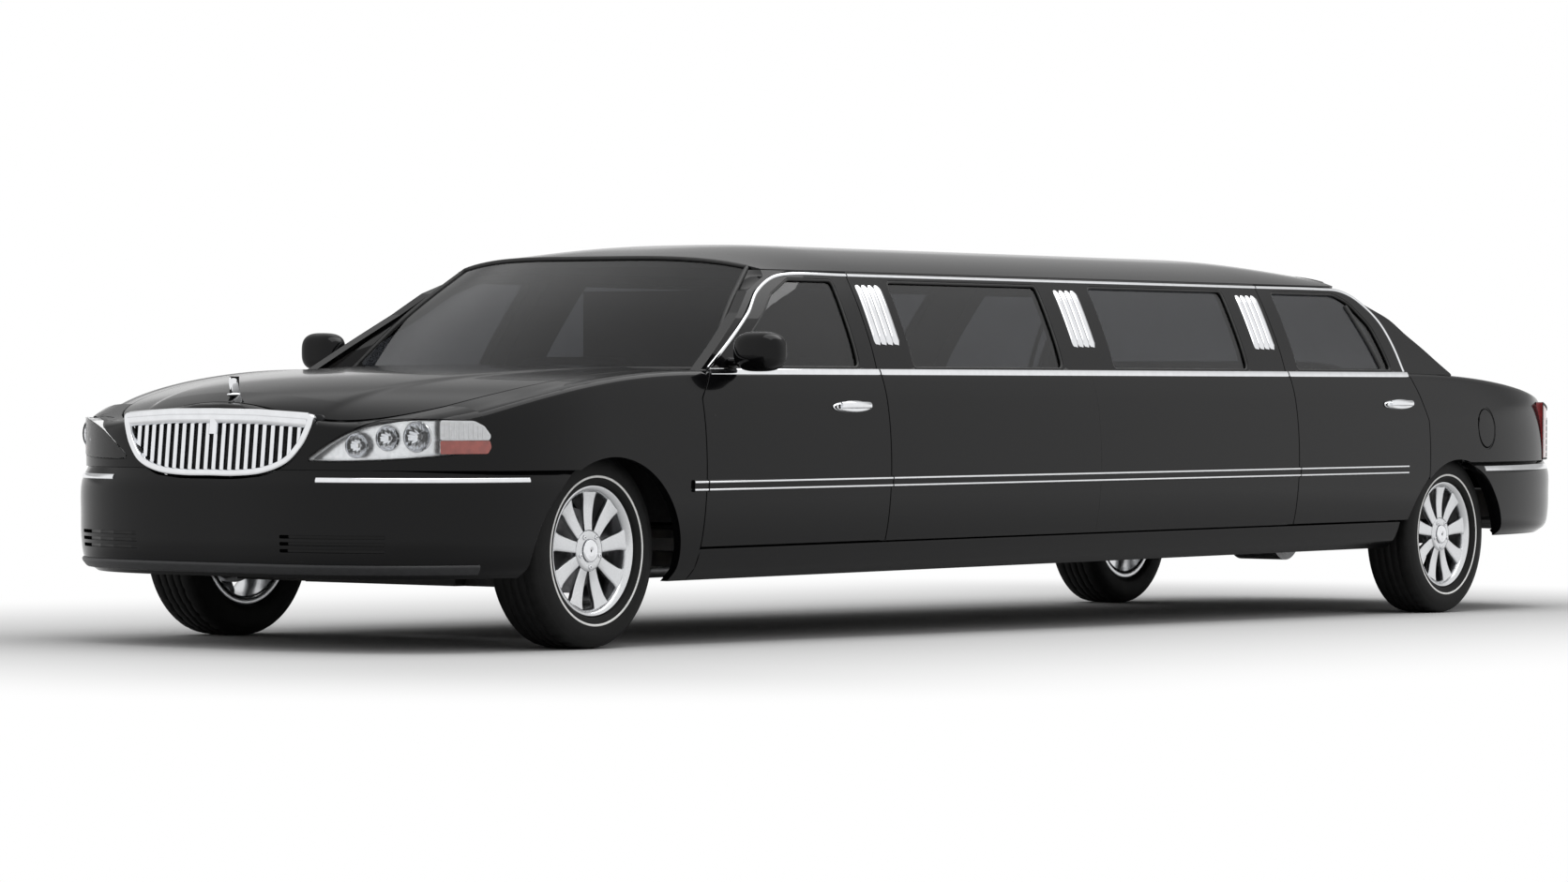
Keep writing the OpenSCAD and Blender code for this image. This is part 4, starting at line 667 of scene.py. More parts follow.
PAINT = finish("paint_black", (0.0022, 0.0022, 0.0025), 0.16, tint=0.3, spots=900, rough_span=0.03, coat=0.29,
               coat_rough=0.012, spec=0.06)
CHROME = finish("chrome_bright", (0.80, 0.81, 0.83), 0.05, metal=1.0, tint=0.03, rough_span=0.03, spots=25)
GRILLE_BLACK = finish("grille_black", (0.008, 0.008, 0.009), 0.45, tint=0.4, grain=0.2)
GLASS = finish("glass_tinted", (0.16, 0.165, 0.175), 0.0, clear=1.0, tint=0.04, rough_span=0.004, spots=6, ior=1.31)
LAMP_SILVER = finish("lamp_silver", (0.95, 0.955, 0.96), 0.22, metal=0.92, tint=0.05, spots=60, rough_span=0.08)
CLEAR = thin_glass("glass_clear", (0.95, 0.955, 0.96), 0.02)
LAMP_RED = finish("lamp_red", (0.24, 0.005, 0.007), 0.10, coat=0.6, tint=0.18, grain=0.5, grain_scale=90, wave="Z")
LAMP_TURN = finish("lamp_turn", (0.66, 0.67, 0.685), 0.16, coat=1.0, tint=0.05, spots=90, grain=0.6,
                   grain_scale=150, wave="Z")
LAMP_AMBER = finish("lamp_amber", (0.30, 0.055, 0.040), 0.10, coat=1.0, tint=0.15, grain=0.5, grain_scale=120,
                    wave="X")
ALLOY = finish("alloy_silver", (0.66, 0.67, 0.685), 0.24, metal=1.0, tint=0.06, spots=260, rough_span=0.06, coat=0.6,
               grain=0.05, grain_scale=900)
RUBBER = finish("rubber_tyre", (0.007, 0.007, 0.007), 0.62, tint=0.3, spots=28, rough_span=0.12, grain=0.35,
                grain_scale=700, spec=0.22)
WHITE_RUBBER = finish("rubber_white", (0.80, 0.80, 0.785), 0.5, tint=0.06, spots=50, grain=0.2)
GASKET = finish("rubber_gasket", (0.010, 0.010, 0.010), 0.55, tint=0.3, grain=0.3)
CHASSIS = finish("chassis_black", (0.022, 0.022, 0.023), 0.55, tint=0.4, spots=18, rough_span=0.15, grain=0.3,
                 other=(0.040, 0.036, 0.032))
STEEL = finish("steel_cast", (0.27, 0.27, 0.275), 0.42, metal=1.0, tint=0.25, spots=30, rough_span=0.14, grain=0.5)
ENGINE = finish("engine_alloy", (0.34, 0.345, 0.35), 0.38, metal=1.0, tint=0.2, spots=34, grain=0.7)
TRIM = finish("trim_plastic", (0.018, 0.018, 0.019), 0.52, tint=0.25, spots=70, grain=0.5, grain_scale=1100)
LEATHER = finish("leather_dark", (0.034, 0.031, 0.030), 0.46, tint=0.3, spots=60, rough_span=0.1, grain=0.6,
                 grain_scale=420)
LINING = finish("roof_lining", (0.20, 0.195, 0.185), 0.85, tint=0.1, spots=120, grain=0.6, grain_scale=1500)
CARPET = finish("trunk_carpet", (0.030, 0.030, 0.031), 0.95, tint=0.35, spots=420, grain=1.0, grain_scale=1300,
                spec=0.1)
SEAM = finish("shut_line", (0.002, 0.002, 0.002), 0.7, tint=0.4, grain=0.1)
LIP = finish("chin_grey", (0.014, 0.0145, 0.016), 0.40, tint=0.2, spots=50, grain=0.3)


def two_sided(name, outer_from):
    """Paint outside, dark trim inside, split at a distance from the middle."""
    m = PAINT.copy()
    m.name = name
    nt = m.node_tree
    where = node(nt, "TexCoord").outputs["Object"]
    ramp = node(nt, "ValToRGB", Fac=node(nt, "TexNoise", Vector=where, Scale=240.0).outputs["Fac"])
    ramp.color_ramp.elements[0].color = (0.016, 0.015, 0.015, 1)
    ramp.color_ramp.elements[1].color = (0.040, 0.038, 0.037, 1)
    inner = node(nt, "BsdfPrincipled", Base_Color=ramp.outputs["Color"], Roughness=0.6)
    size = math_node(nt, "ABSOLUTE", node(nt, "SeparateXYZ", Vector=where).outputs["Y"])
    blend = node(nt, "MixShader", Fac=math_node(nt, "GREATER_THAN", size, outer_from), i1=inner.outputs["BSDF"],
                 i2=nt.nodes["Principled BSDF"].outputs["BSDF"])
    wire(nt, nt.nodes["Material Output"], Surface=blend.outputs["Shader"])
    return m


DOOR_LOOK = two_sided("door_two_sided", 0.930)
NODE_LOOKS = (
    (CHASSIS, "frame_rails floor_pan front_crossmember"), (TRIM, "cowl rear_shelf dashboard"),
    (LEATHER, "steering_wheel partition seats"), (ENGINE, "engine_block"), (CHROME, "grille louvres"),
    (STEEL, "knuckle_l knuckle_r rear_axle drive_shaft exhaust"), (CLEAR, "headlamps"), (LAMP_RED, "tail_lamps"),
    (GLASS, "windshield rear_window side_glass glass_fl glass_fr glass_rl glass_rr"),
    (ALLOY, "rim_fl rim_fr rim_rl rim_rr"), (RUBBER, "tyre_fl tyre_fr tyre_rl tyre_rr"),
    (DOOR_LOOK, "door_fl door_fr door_rl door_rr centre_sides"), (LINING, "roof"))
LOOK_OF = {node_name: look for look, names in NODE_LOOKS for node_name in names.split()}
for node_name, node_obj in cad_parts.items():
    look = LOOK_OF.get(node_name, PAINT)
    if not node_obj.material_slots:
        node_obj.data.materials.append(look)
    for material_slot in node_obj.material_slots:
        material_slot.link = "OBJECT"
        material_slot.material = look


# Sides: outlines in x and z, the left side; the right is its mirror
A_EDGE = [(FA - A_BASE - s * A_RUN, BELT_Z + h * WIN_H) for s, h in A_SHARES]
C_EDGE = [(C_CUT + s * C_RUN, BELT_Z + h * WIN_H) for s, h in C_SHARES]
WIN_LOW, WIN_TOP = BELT_Z + 0.014, DRIP_Z - 0.026
B_BORDER = 0.100
CENTRE_L = B_CUT - D_CUT
FRAME_LOW = FRAME_Z[0] - 0.006
FRAME_TOP = DRIP_Z - GAP
DOOR_LOW = CREASE_Z + GAP
FRONT_DOOR = ([(FRONT_CUT - GAP, DOOR_LOW), (FRONT_CUT - GAP, KINK_Z - GAP)]
              + [(x - GAP, min(z, FRAME_TOP)) for x, z in A_EDGE]
              + [(lean(B_CUT, FRAME_TOP) + GAP, FRAME_TOP), (B_CUT + GAP, BELT_Z), (B_CUT + GAP, DOOR_LOW)])
REAR_DOOR = ([(D_CUT - GAP, DOOR_LOW), (D_CUT - GAP, BELT_Z), (lean(D_CUT, FRAME_TOP) - GAP, FRAME_TOP)]
             + [(x + GAP, min(z, FRAME_TOP)) for x, z in C_EDGE]
             + [(C_CUT - HIP_OUT + GAP, HIP_Z), (C_CUT - HIP_OUT + GAP, DOOR_LOW)])
CENTRE = [(B_CUT - GAP, DOOR_LOW), (B_CUT - GAP, BELT_Z), (lean(B_CUT, FRAME_TOP) - GAP, FRAME_TOP),
          (lean(D_CUT, FRAME_TOP) + GAP, FRAME_TOP), (D_CUT + GAP, BELT_Z), (D_CUT + GAP, DOOR_LOW)]
FRONT_WIN = ([(x - B_BORDER, z) for x, z in A_EDGE]
             + [(lean(B_CUT, DRIP_Z) + B_BORDER, DRIP_Z), (B_CUT + B_BORDER, BELT_Z)])
REAR_WIN = ([(D_CUT - B_BORDER, BELT_Z), (lean(D_CUT, DRIP_Z) - B_BORDER, DRIP_Z)]
            + [(x + B_BORDER, z) for x, z in C_EDGE])
CENTRE_RUNS = [(B_CUT - a * CENTRE_L, B_CUT - b * CENTRE_L) for a, b in ((0.082, 0.433), (0.554, 0.904))]
CENTRE_WINS = [[(x0, BELT_Z), (lean(x0, DRIP_Z), DRIP_Z), (lean(x1, DRIP_Z), DRIP_Z), (x1, BELT_Z)]
               for x0, x1 in CENTRE_RUNS]


def win_loop(pts):
    return rounded(clipped(pts, WIN_LOW, WIN_TOP), 0.034, 6)


def rear_arch(pts):
    """Rear door outline with its corner cut by the wheel arch."""
    centre, r = np.array([RA, REAR_ARCH_Z]), ARCH_R + 0.012
    return [tuple(centre + (p - centre) * max(1.0, r / np.linalg.norm(p - centre))) for p in dense(pts, 0.006)]


def side_skin(outline, holes, name, bodies):
    """Skin of a door or side: below the belt on the wing, above it on the window surface."""
    low = on_wing(dense(clipped(outline, DOOR_LOW, BELT_Z - 0.0005), 0.05))
    high = clipped(outline, FRAME_LOW, FRAME_TOP)
    skin = Bag().join(panel(wing, [low], face=-1), panel(window, [high] + holes, face=-1))
    pair(skin, name, bodies, PAINT, "paint")


front_win, rear_win = win_loop(FRONT_WIN), win_loop(REAR_WIN)
centre_wins = [win_loop(w) for w in CENTRE_WINS]
side_skin(FRONT_DOOR, [front_win], "door_skin_front", FRONT_DOORS)
side_skin(rear_arch(REAR_DOOR), [rear_win], "door_skin_rear", REAR_DOORS)
side_skin(CENTRE, centre_wins, "centre_skin", BOTH)


def arc(x, z, r, a0, a1, n):
    return [(x + r * math.cos(math.radians(a)), z + r * math.sin(math.radians(a))) for a in np.linspace(a0, a1, n)]


def chord(z, z0):
    """Half width of a wheel arch at a height."""
    return math.sqrt(max(0.0, ARCH_R ** 2 - (z - z0) ** 2))


def arch_angle(z, z0):
    return math.degrees(math.asin((z - z0) / ARCH_R))


# Front fender, with the strip of the top beside the hood
NOSE_LOW = BUMPER_TOP + 0.0003
f_end = FA + FENDER_FRONT - 0.0005
f_base = FA - A_BASE + GAP
fender = on_wing(arc(FA, ARCH_Z, ARCH_R, 180 - arch_angle(SILL_Z + 0.001, ARCH_Z), arch_angle(NOSE_LOW, ARCH_Z), 60))
fender += on_wing([(x, NOSE_LOW) for x in np.linspace(FA + chord(NOSE_LOW, ARCH_Z) + 0.02, f_end, 14)])
fender += [(f_end, t) for t in np.linspace(fender[-1][1], T_TOP, 16)[1:]]
fender += [(x, T_TOP) for x in np.linspace(f_end, f_base, 40)[1:]] + [(f_base, T_BELT + 0.01)]
fender += on_wing([(f_base, BELT_Z - 0.001), (FRONT_CUT + GAP, KINK_Z), (FRONT_CUT + GAP, SILL_Z + 0.001)])
pair(panel(wing, [fender], face=-1), "fender_skin", BOTH, PAINT, "paint")

# Quarter panel, with its lamp pocket and, on the left, the fuel door's opening
REAR_LOW = REAR_BUMPER_TOP + 0.0003
q_end, q_lamp, q_cut = RA - TAIL_END, RA - LAMP_FRONT, C_CUT - GAP
quarter = on_wing(arc(RA, REAR_ARCH_Z, ARCH_R, math.degrees(math.acos((q_cut - HIP_OUT - RA) / ARCH_R)),
                      180 - arch_angle(REAR_LOW, REAR_ARCH_Z), 60))
quarter += on_wing([(x, REAR_LOW) for x in np.linspace(RA - chord(REAR_LOW, REAR_ARCH_Z) - 0.02, q_lamp, 20)])
quarter += on_wing([(x, crest_z(x) - 0.030) for x in np.linspace(q_lamp, q_end + 0.0005, 10)])
quarter += [(q_end + 0.0005, t) for t in np.linspace(quarter[-1][1], T_TOP, 8)[1:]]
quarter += [(x, T_TOP) for x in np.linspace(q_end, q_cut, 60)[1:]] + [(q_cut, T_BELT + 0.004)]
quarter += on_wing([(q_cut, BELT_Z - 0.001), (q_cut - HIP_OUT, HIP_Z)])
FUEL_X, FUEL_Z, FUEL_RX, FUEL_RZ = RA - 0.257, 0.740, 0.0775, 0.0885
FUEL_GAP, FUEL_ROOM = 0.007, 1.085


def fuel_loop(rx, rz):
    return on_wing([(FUEL_X + x, FUEL_Z + z) for x, z in oval(rx, rz, 55)])


fuel_hole = fuel_loop(FUEL_RX * FUEL_ROOM, FUEL_RZ * FUEL_ROOM)
panel(wing, [quarter, fuel_hole], face=-1).add("quarter_skin_l", ROOT, PAINT, "paint")
panel(wing, [quarter], face=-1).mirrored().add("quarter_skin_r", ROOT, PAINT, "paint")
panel(wing, [fuel_loop(FUEL_RX - FUEL_GAP, FUEL_RZ - FUEL_GAP)], face=-1, step=0.010, lip=0.005).add(
    "fuel_skin", "fuel_door", PAINT, "paint")

# C-pillar and A-pillar on the window surface
SAIL_SHARES = ((0.72, 0.965), (0.42, 0.875), (0.115, 0.76), (-0.176, 0.637), (-0.379, 0.477), (-0.60, 0.331),
               (-0.853, 0.159), (-1.067, 0.027))
SAIL = [(C_CUT + s * C_RUN + 0.002, BELT_Z + t * WIN_H - 0.003) for s, t in SAIL_SHARES]
c_pillar = ([(x - GAP, max(z, FRAME_LOW)) for x, z in C_EDGE[:0:-1]]
            + [(C_CUT + C_RUN - GAP, FRAME_TOP + 0.003), (C_CUT + C_RUN - 0.040, FRAME_TOP + 0.003)]
            + [tuple(p) for p in curve(SAIL, 40)] + [(C_CUT - 0.410, FRAME_LOW)])
pair(panel(window, [c_pillar], face=-1), "c_pillar_skin", BOTH, PAINT, "paint")
A_WIDE = 0.042
ROOF_TIP = (FA - 1.225, FRAME_TOP + 0.004)
A_FRONT = ([(A_EDGE[0][0] + A_WIDE, FRAME_LOW)] + [(x + A_WIDE, z + GAP) for x, z in A_EDGE[1:4]] + [ROOF_TIP])
a_pillar = [(A_EDGE[0][0] + GAP, FRAME_LOW)] + [(x + GAP, z + GAP) for x, z in A_EDGE[1:4]] + A_FRONT[::-1]
pair(panel(window, [a_pillar], face=-1, lip=0.006), "a_pillar_skin", BOTH, PAINT, "paint")

# Sill skin below the doors
sill_x = np.linspace(RA + 0.470, FRONT_CUT - GAP, 30)
sill_loop = [(x, 0.004) for x in sill_x] + on_wing([(x, CREASE_Z - 2 * GAP) for x in sill_x[::-1]])
pair(panel(wing, [sill_loop], face=-1, lip=0.02), "sill_skin", BOTH, PAINT, "paint")


# Hood, roof and trunk lid
def nose_x(y):
    share = np.minimum(1, np.abs(y) / (HALF_W * 0.824 - 2 * GAP))
    return FA + (NOSE_L - 0.046 - 2 * GAP) * (1 - share ** SIDE_POW) ** (1 / FRONT_POW)


def hood_y(x):
    return crest_y(np.minimum(x, FA + FENDER_FRONT)) * HOOD_SHARE - 2 * GAP


def hood(u, v):
    v = 2 * v - 1
    x = mix(FA - 0.640 + 0.125 * (1 - v * v), nose_x(v * hood_y(FA + FENDER_FRONT)), u)
    y = v * hood_y(x)
    line = mix(0.600, 0.400, clamp((x - FA + 0.64) / (0.64 + NOSE_L)))
    ridge = 0.0065 / (1 + np.exp((np.abs(y) - line) / 0.009)) * clamp((1 - u) * 14)
    return np.stack([x, y, top_z(x, y) + ridge], -1)


patch(hood, 110, 161).add("hood_skin", "hood", PAINT, "paint")


def roof_bow(y):
    return 1 - (y / ROOF_HALF) ** 2


def roof_front_x(y):
    return FA - 1.225 + 0.120 * roof_bow(y)


def roof_rear_x(y):
    return RA + 0.640 - 0.150 * roof_bow(y)


def roof_top(x, y):
    drop = 0.062 * clamp(1 - (FA - 1.105 - x) / 0.8) ** 2 + 0.058 * clamp(1 - (x - RA - 0.490) / 0.8) ** 2
    return ROOF_SEAT + (ROOF_Z - DRIP_Z - drop) * (1 - np.minimum(1, np.abs(y) / ROOF_HALF) ** 3)


def roof(u, v):
    y = ROOF_HALF * (2 * v - 1)
    x = mix(roof_front_x(y), roof_rear_x(y), u)
    return np.stack([x, y, roof_top(x, y)], -1)


patch(roof, 150, 61, face=-1).add("roof_skin", ROOT, PAINT, "paint")

# Share along the lid, share down its upright face
LID_ROWS = np.array([(0, 0), (0.25, 0), (0.5, 0), (0.72, 0), (0.88, 0), (0.96, 0.02), (1.0, 0.10), (1.0, 0.40),
                     (0.985, 0.70), (0.97, 1.0)])
LID_KNOTS = run_of(LID_ROWS * (1.5, 0.22))
LID_TAIL = REAR_OVERHANG - 0.190


def lid_half(x):
    return crest_y(x) * HOOD_SHARE - 2 * GAP


def lid(u, v):
    r = hermite(LID_KNOTS, u * LID_KNOTS[-1]) @ LID_ROWS
    v = 2 * v - 1
    x = mix(RA - 0.262, RA - LID_TAIL, r[:, 0]) - 0.040 * r[:, 0] * (1 - v * v)
    xc = np.maximum(x, q_end)
    y = lid_half(xc) * v
    return np.stack([x, y, mix(top_z(xc, y), REAR_BUMPER_TOP + 0.010, r[:, 1])], -1)


patch(lid, 120, 81, face=-1, lift=0.0012).add("trunk_skin", "trunk_lid", PAINT, "paint")

# Bare plate with its frame, and a chrome strip, on the lid's upright face
LID_U = np.linspace(0.60, 1.0, 200)
LID_FALL = lid(LID_U, level(LID_U, 0.5))[:, 2]


def lid_face(a, b):
    return lid(np.interp(-b, -LID_FALL, LID_U), 0.5 + a / (2 * lid_half(q_end)))


PLATE = [(-0.160, 0.640), (0.160, 0.640), (0.160, 0.785), (-0.160, 0.785)]
plate_edge = [(y * 1.025, z + 0.004 * np.sign(z - 0.7)) for y, z in PLATE]
panel(lid_face, [rounded(PLATE, 0.012)], face=-1, step=0.012, lift=0.004, lip=0.006).add(
    "plate_blank", "trunk_lid", WHITE_RUBBER, "trim")
chrome = Bag().sweep(*on(lid_face, *dense(rounded(plate_edge, 0.014), 0.01).T, -1), strip(0.014, 0.007, 9, 2.6), True)
a = np.linspace(-0.66, 0.66, 60)
chrome.sweep(*on(lid_face, a, level(a, 0.818), -1), strip(0.018, 0.007, 9, 2.6))
chrome.add("trunk_chrome", "trunk_lid", CHROME, "chrome")


# Bumpers: angle round the nose or tail against distance up the bumper
BUMPER_SHARES = np.array([(0, 0.9), (0.10, 0.25), (0.28, 0.04), (0.55, 0.0), (0.84, 0.03), (1.0, 0.4)])
DEG = 0.016


def bumper(bow_fn, length, low, top):
    """Surface, its length up the bumper, and the distance up it of a height."""
    knots = run_of(BUMPER_SHARES * (top - low, BUMPER_T))
    ks = np.linspace(0, knots[-1], 400)

    def surf(a, b):
        s = hermite(knots, b) @ BUMPER_SHARES
        x, y = bow_fn(a / DEG, length, s[:, 1] * BUMPER_T)
        return np.stack([x, y, mix(low, top, s[:, 0])], -1)

    def row_of(z):
        return float(np.interp(z, mix(low, top, (hermite(knots, ks) @ BUMPER_SHARES)[:, 0]), ks))

    return surf, knots[-1], row_of


def edge_angle(surf, b, want):
    """Largest angle at which a point of a nose or tail surface is still wanted."""
    lo, hi = 20 * DEG, 89.9 * DEG
    for _ in range(40):
        mid = (lo + hi) / 2
        lo, hi = (mid, hi) if want(surf(np.array([mid]), np.array([b]))[0]) else (lo, mid)
    return lo


def mirror_loop(loop):
    return [(-a, b) for a, b in reversed(loop)]


SHIELD_SHARES = [(0, 1.0), (0.45, 0.99), (0.80, 0.955), (1.0, 0.93), (0.97, 0.72), (0.90, 0.45), (0.77, 0.20),
                 (0.55, 0.05), (0.28, 0.0), (0, 0.0)]
GRILLE_HALF, GRILLE_TOP, GRILLE_LOW = 0.440, 0.840, 0.606


def smooth_shield():
    """Grille outline with a soft lower edge and rounded top corners."""
    right = np.array([(y * GRILLE_HALF, mix(GRILLE_LOW, GRILLE_TOP, h)) for y, h in SHIELD_SHARES])
    low = curve(right[3:], 40)
    corner = rounded([right[2], right[3], low[4]], 0.03, 6)[6:12]
    half = np.vstack([right[:3], corner, low[3:]])
    return dense(np.vstack([half, half[::-1][1:-1] * (-1, 1)]), 0.012)


SHIELD = smooth_shield()


def y_to_angle(y, inset=0.0):
    share = np.clip(np.abs(y) / (HALF_W - inset), 0, 1)
    return float(np.degrees(np.arcsin(share ** (SIDE_POW / 2))) * np.sign(y) * DEG)


front_surf, front_rows, front_row_of = bumper(front_bow, FRONT_OVERHANG, BUMPER_LOW, BUMPER_TOP)
rear_surf, rear_rows, rear_row_of = bumper(rear_bow, REAR_OVERHANG, BUMPER_LOW, REAR_BUMPER_TOP)


def bumper_side(surf, rows, axle, z0, way):
    """Angles of a bumper's end, which follows the wheel arch."""
    out = []
    for b in np.linspace(0.001, rows - 0.0005, 26):
        z = surf(np.array([0.1]), np.array([b]))[0][2]
        out.append((edge_angle(surf, b, lambda p: (p[0] - axle) * way > chord(z, z0)), b))
    return out


end_f = bumper_side(front_surf, front_rows, FA, ARCH_Z, 1)
dip = sorted((p for p in grown(SHIELD, 0.008) if p[1] < BUMPER_TOP - 0.0006), key=lambda p: -p[0])
front_loop = end_f + [(y_to_angle(y, 0.01), front_row_of(z)) for y, z in dip] + mirror_loop(end_f)
SLOT_Z, SLOT_H, SLOT_IN, SLOT_OUT = (0.350, 0.374, 0.398), 0.014, HALF_W * 0.33, HALF_W * 0.70
slots = []
for z in SLOT_Z:
    slot = rounded([(SLOT_IN, z), (SLOT_OUT, z), (SLOT_OUT, z + SLOT_H), (SLOT_IN, z + SLOT_H)], 0.006, 4)
    slots += [[(y_to_angle(y) * way, front_row_of(q)) for y, q in slot] for way in (1, -1)]
panel(front_surf, [front_loop] + slots, lip=0.024).add("front_bumper_skin", ROOT, PAINT, "paint")
end_r = bumper_side(rear_surf, rear_rows, RA, REAR_ARCH_Z, -1)
panel(rear_surf, [end_r + mirror_loop(end_r)], face=-1, lip=0.03).add("rear_bumper_skin", ROOT, PAINT, "paint")


# Nose panel between bumper, lamps, grille and hood: share of its height, share of its way back to the hood
NOSE_ROWS = np.array([(0, 0), (0.45, 0), (0.84, 0.10), (0.97, 0.5), (1.0, 1.0)])
NOSE_KNOTS = run_of(NOSE_ROWS * (0.2, 0.046))


def nose(a, b):
    r = hermite(NOSE_KNOTS, b) @ NOSE_ROWS
    x0, y0 = front_bow(a / DEG, NOSE_L, 0)
    x1, y1 = front_bow(a / DEG, NOSE_L - 0.046, 0)
    y1 = y1 * 0.824
    return np.stack([mix(x0, x1, r[:, 1]), mix(y0, y1, r[:, 1]), mix(NOSE_LOW, top_z(x1, y1), r[:, 0])], -1)


def nose_row(a, z):
    ks = np.linspace(0, NOSE_KNOTS[-1], 200)
    return float(np.interp(z, nose(level(ks, a), ks)[:, 2], ks))


def nose_end(b):
    return edge_angle(nose, b, lambda p: p[0] > FA + FENDER_FRONT + 0.0006)


# Lamp outline: share of its width, share of its height below and above
LAMP_SHARES = np.array([(0, 0.02, 0.10), (0.10, 0.0, 0.42), (0.24, 0.01, 0.74), (0.42, 0.04, 0.92), (0.62, 0.09, 1.0),
                        (0.82, 0.16, 0.99), (0.95, 0.28, 0.90), (1.0, 0.42, 0.76)])
LAMP_LOW, LAMP_TOP, LAMP_IN, LAMP_OUT = 0.662, 0.806, 14, 57
lamp_s = np.linspace(0, 1, 30)
lamp_a = mix(LAMP_IN, LAMP_OUT, lamp_s) * DEG
lamp_low = mix(LAMP_LOW, LAMP_TOP, np.interp(lamp_s, *LAMP_SHARES[:, :2].T))
lamp_high = mix(LAMP_LOW, LAMP_TOP, clamp(hermite(LAMP_SHARES[:, 0], lamp_s) @ LAMP_SHARES[:, 2]))
LAMP_LOOP = list(zip(lamp_a, lamp_low)) + list(zip(lamp_a[::-1], lamp_high[::-1]))

rows = np.linspace(0.0006, NOSE_KNOTS[-1] - 0.0006, 16)
nose_side = [(nose_end(b), b) for b in rows]
top_run = [(a, rows[-1]) for a in np.linspace(nose_side[-1][0], -nose_side[-1][0], 60)[1:-1]]
shield_hole = []
for y, z in grown(SHIELD, 0.0005):
    a = y_to_angle(y)
    for _ in range(4):
        b = nose_row(a, z)
        y_now = nose(np.array([a]), np.array([b]))[0][1]
        a = a * (abs(y) / max(abs(y_now), 1e-6)) ** 1.6 if abs(y) > 1e-4 else a
    shield_hole.append((a, b))
split = [i for i, (_, b) in enumerate(shield_hole) if b > 0.0015]
rise = [shield_hole[i] for i in split if SHIELD[i][0] < 0] + [shield_hole[i] for i in split if SHIELD[i][0] >= 0]
# Lamps reach the panel's outer edge, so their holes are trimmed to the panel
lamp_hole = [(a, nose_row(a, z)) for a, z in grown(LAMP_LOOP, 0.0035)]
lamp_hole = [(min(a, nose_end(b) - 0.0005), b) for a, b in lamp_hole]
panel(nose, [nose_side + top_run + mirror_loop(nose_side) + rise, lamp_hole, [(-a, b) for a, b in lamp_hole]],
      step=0.012, lip=0.010).add("nose_skin", ROOT, PAINT, "paint")


# Grille: chrome surround, upright bars and a dark back
def face_x(y, length):
    """Plan curve of the nose at a distance from the middle."""
    share = np.clip(np.abs(y) / HALF_W, 0, 1)
    return FA + length * (1 - share ** SIDE_POW) ** (1 / FRONT_POW)


def grille_face(length):
    return lambda y, z: np.stack([face_x(y, length) - 0.10 * (z - GRILLE_LOW), y, z], -1)


def on_face(y, z, length):
    """Points of the leaning grille face, with level normals."""
    eps = 1e-3
    slope = (face_x(y + eps, length) - face_x(y - eps, length)) / (2 * eps)
    return grille_face(length)(y, z), unit(np.stack([level(y, 1.0), -slope, 0 * y], -1))


RIM, BARS = 0.026, 24
rim_loop, bar_loop = grown(SHIELD, -RIM / 2), grown(SHIELD, -RIM * 0.7)
t = angles(16)
rim_section = np.stack([RIM / 2 * signed_power(np.cos(t), 0.6), 0.017 * signed_power(np.sin(t), 0.7)], -1)
surround = Bag().sweep(*on_face(*rim_loop.T, NOSE_L + 0.006), rim_section, True)
for y in np.linspace(-GRILLE_HALF, GRILLE_HALF, BARS + 1)[1:-1]:
    hit = [mix(p[1], q[1], (y - p[0]) / (q[0] - p[0])) for p, q in zip(bar_loop, np.roll(bar_loop, -1, 0))
           if (p[0] - y) * (q[0] - y) <= 0 and p[0] != q[0]]
    if len(hit) > 1 and max(hit) - min(hit) >= 0.02:
        zs = np.linspace(min(hit), max(hit), 14)
        p, n = on_face(level(zs, y), zs, NOSE_L - 0.012)
        p[:, 0] -= 0.010 * clamp((zs - GRILLE_TOP + 0.05) / 0.05) ** 2
        surround.sweep(p, n, half_oval(0.0092, 0.011, 0.004, 0.0080, -0.018))
ys = np.linspace(-0.93 * GRILLE_HALF, 0.93 * GRILLE_HALF, 60)
upper = np.array(sorted(tuple(p) for p in rim_loop if p[1] > mix(GRILLE_LOW, GRILLE_TOP, 0.8)))
surround.sweep(*on_face(ys, np.interp(ys, *upper.T) - 0.011, NOSE_L + 0.003), strip(0.054, 0.018, 13, 2.6))
zs = np.linspace(GRILLE_TOP - 0.088, GRILLE_TOP - 0.012, 12)
surround.sweep(*on_face(0 * zs, zs, NOSE_L + 0.002), strip(0.034, 0.018, 13))
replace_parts(surround.add("grille_chrome", ROOT, CHROME, "chrome"), "grille")
panel(grille_face(NOSE_L - 0.042), [grown(SHIELD, -0.004)], step=0.02, lip=0.012).add(
    "grille_back", ROOT, GRILLE_BLACK, "gloss_black")


def bow_face(bow_fn, length, inset):
    """Upright face round the nose or tail."""
    def surf(a, b):
        x, y = bow_fn(a / DEG, length, inset)
        return np.stack([x, y, b + 0 * a], -1)
    return surf


# Headlamps: bowl, three round reflectors, ribbed turn lamp, clear cover
def lamp_face(inset):
    return bow_face(front_bow, NOSE_L, inset)


def lamp_block(loop, out, r, lip):
    """Closed lamp over an outline of degrees round the nose and heights."""
    return panel(lamp_face(-out), [rounded([(d * DEG, z) for d, z in loop], r)], step=0.010, lift=0, lip=lip)


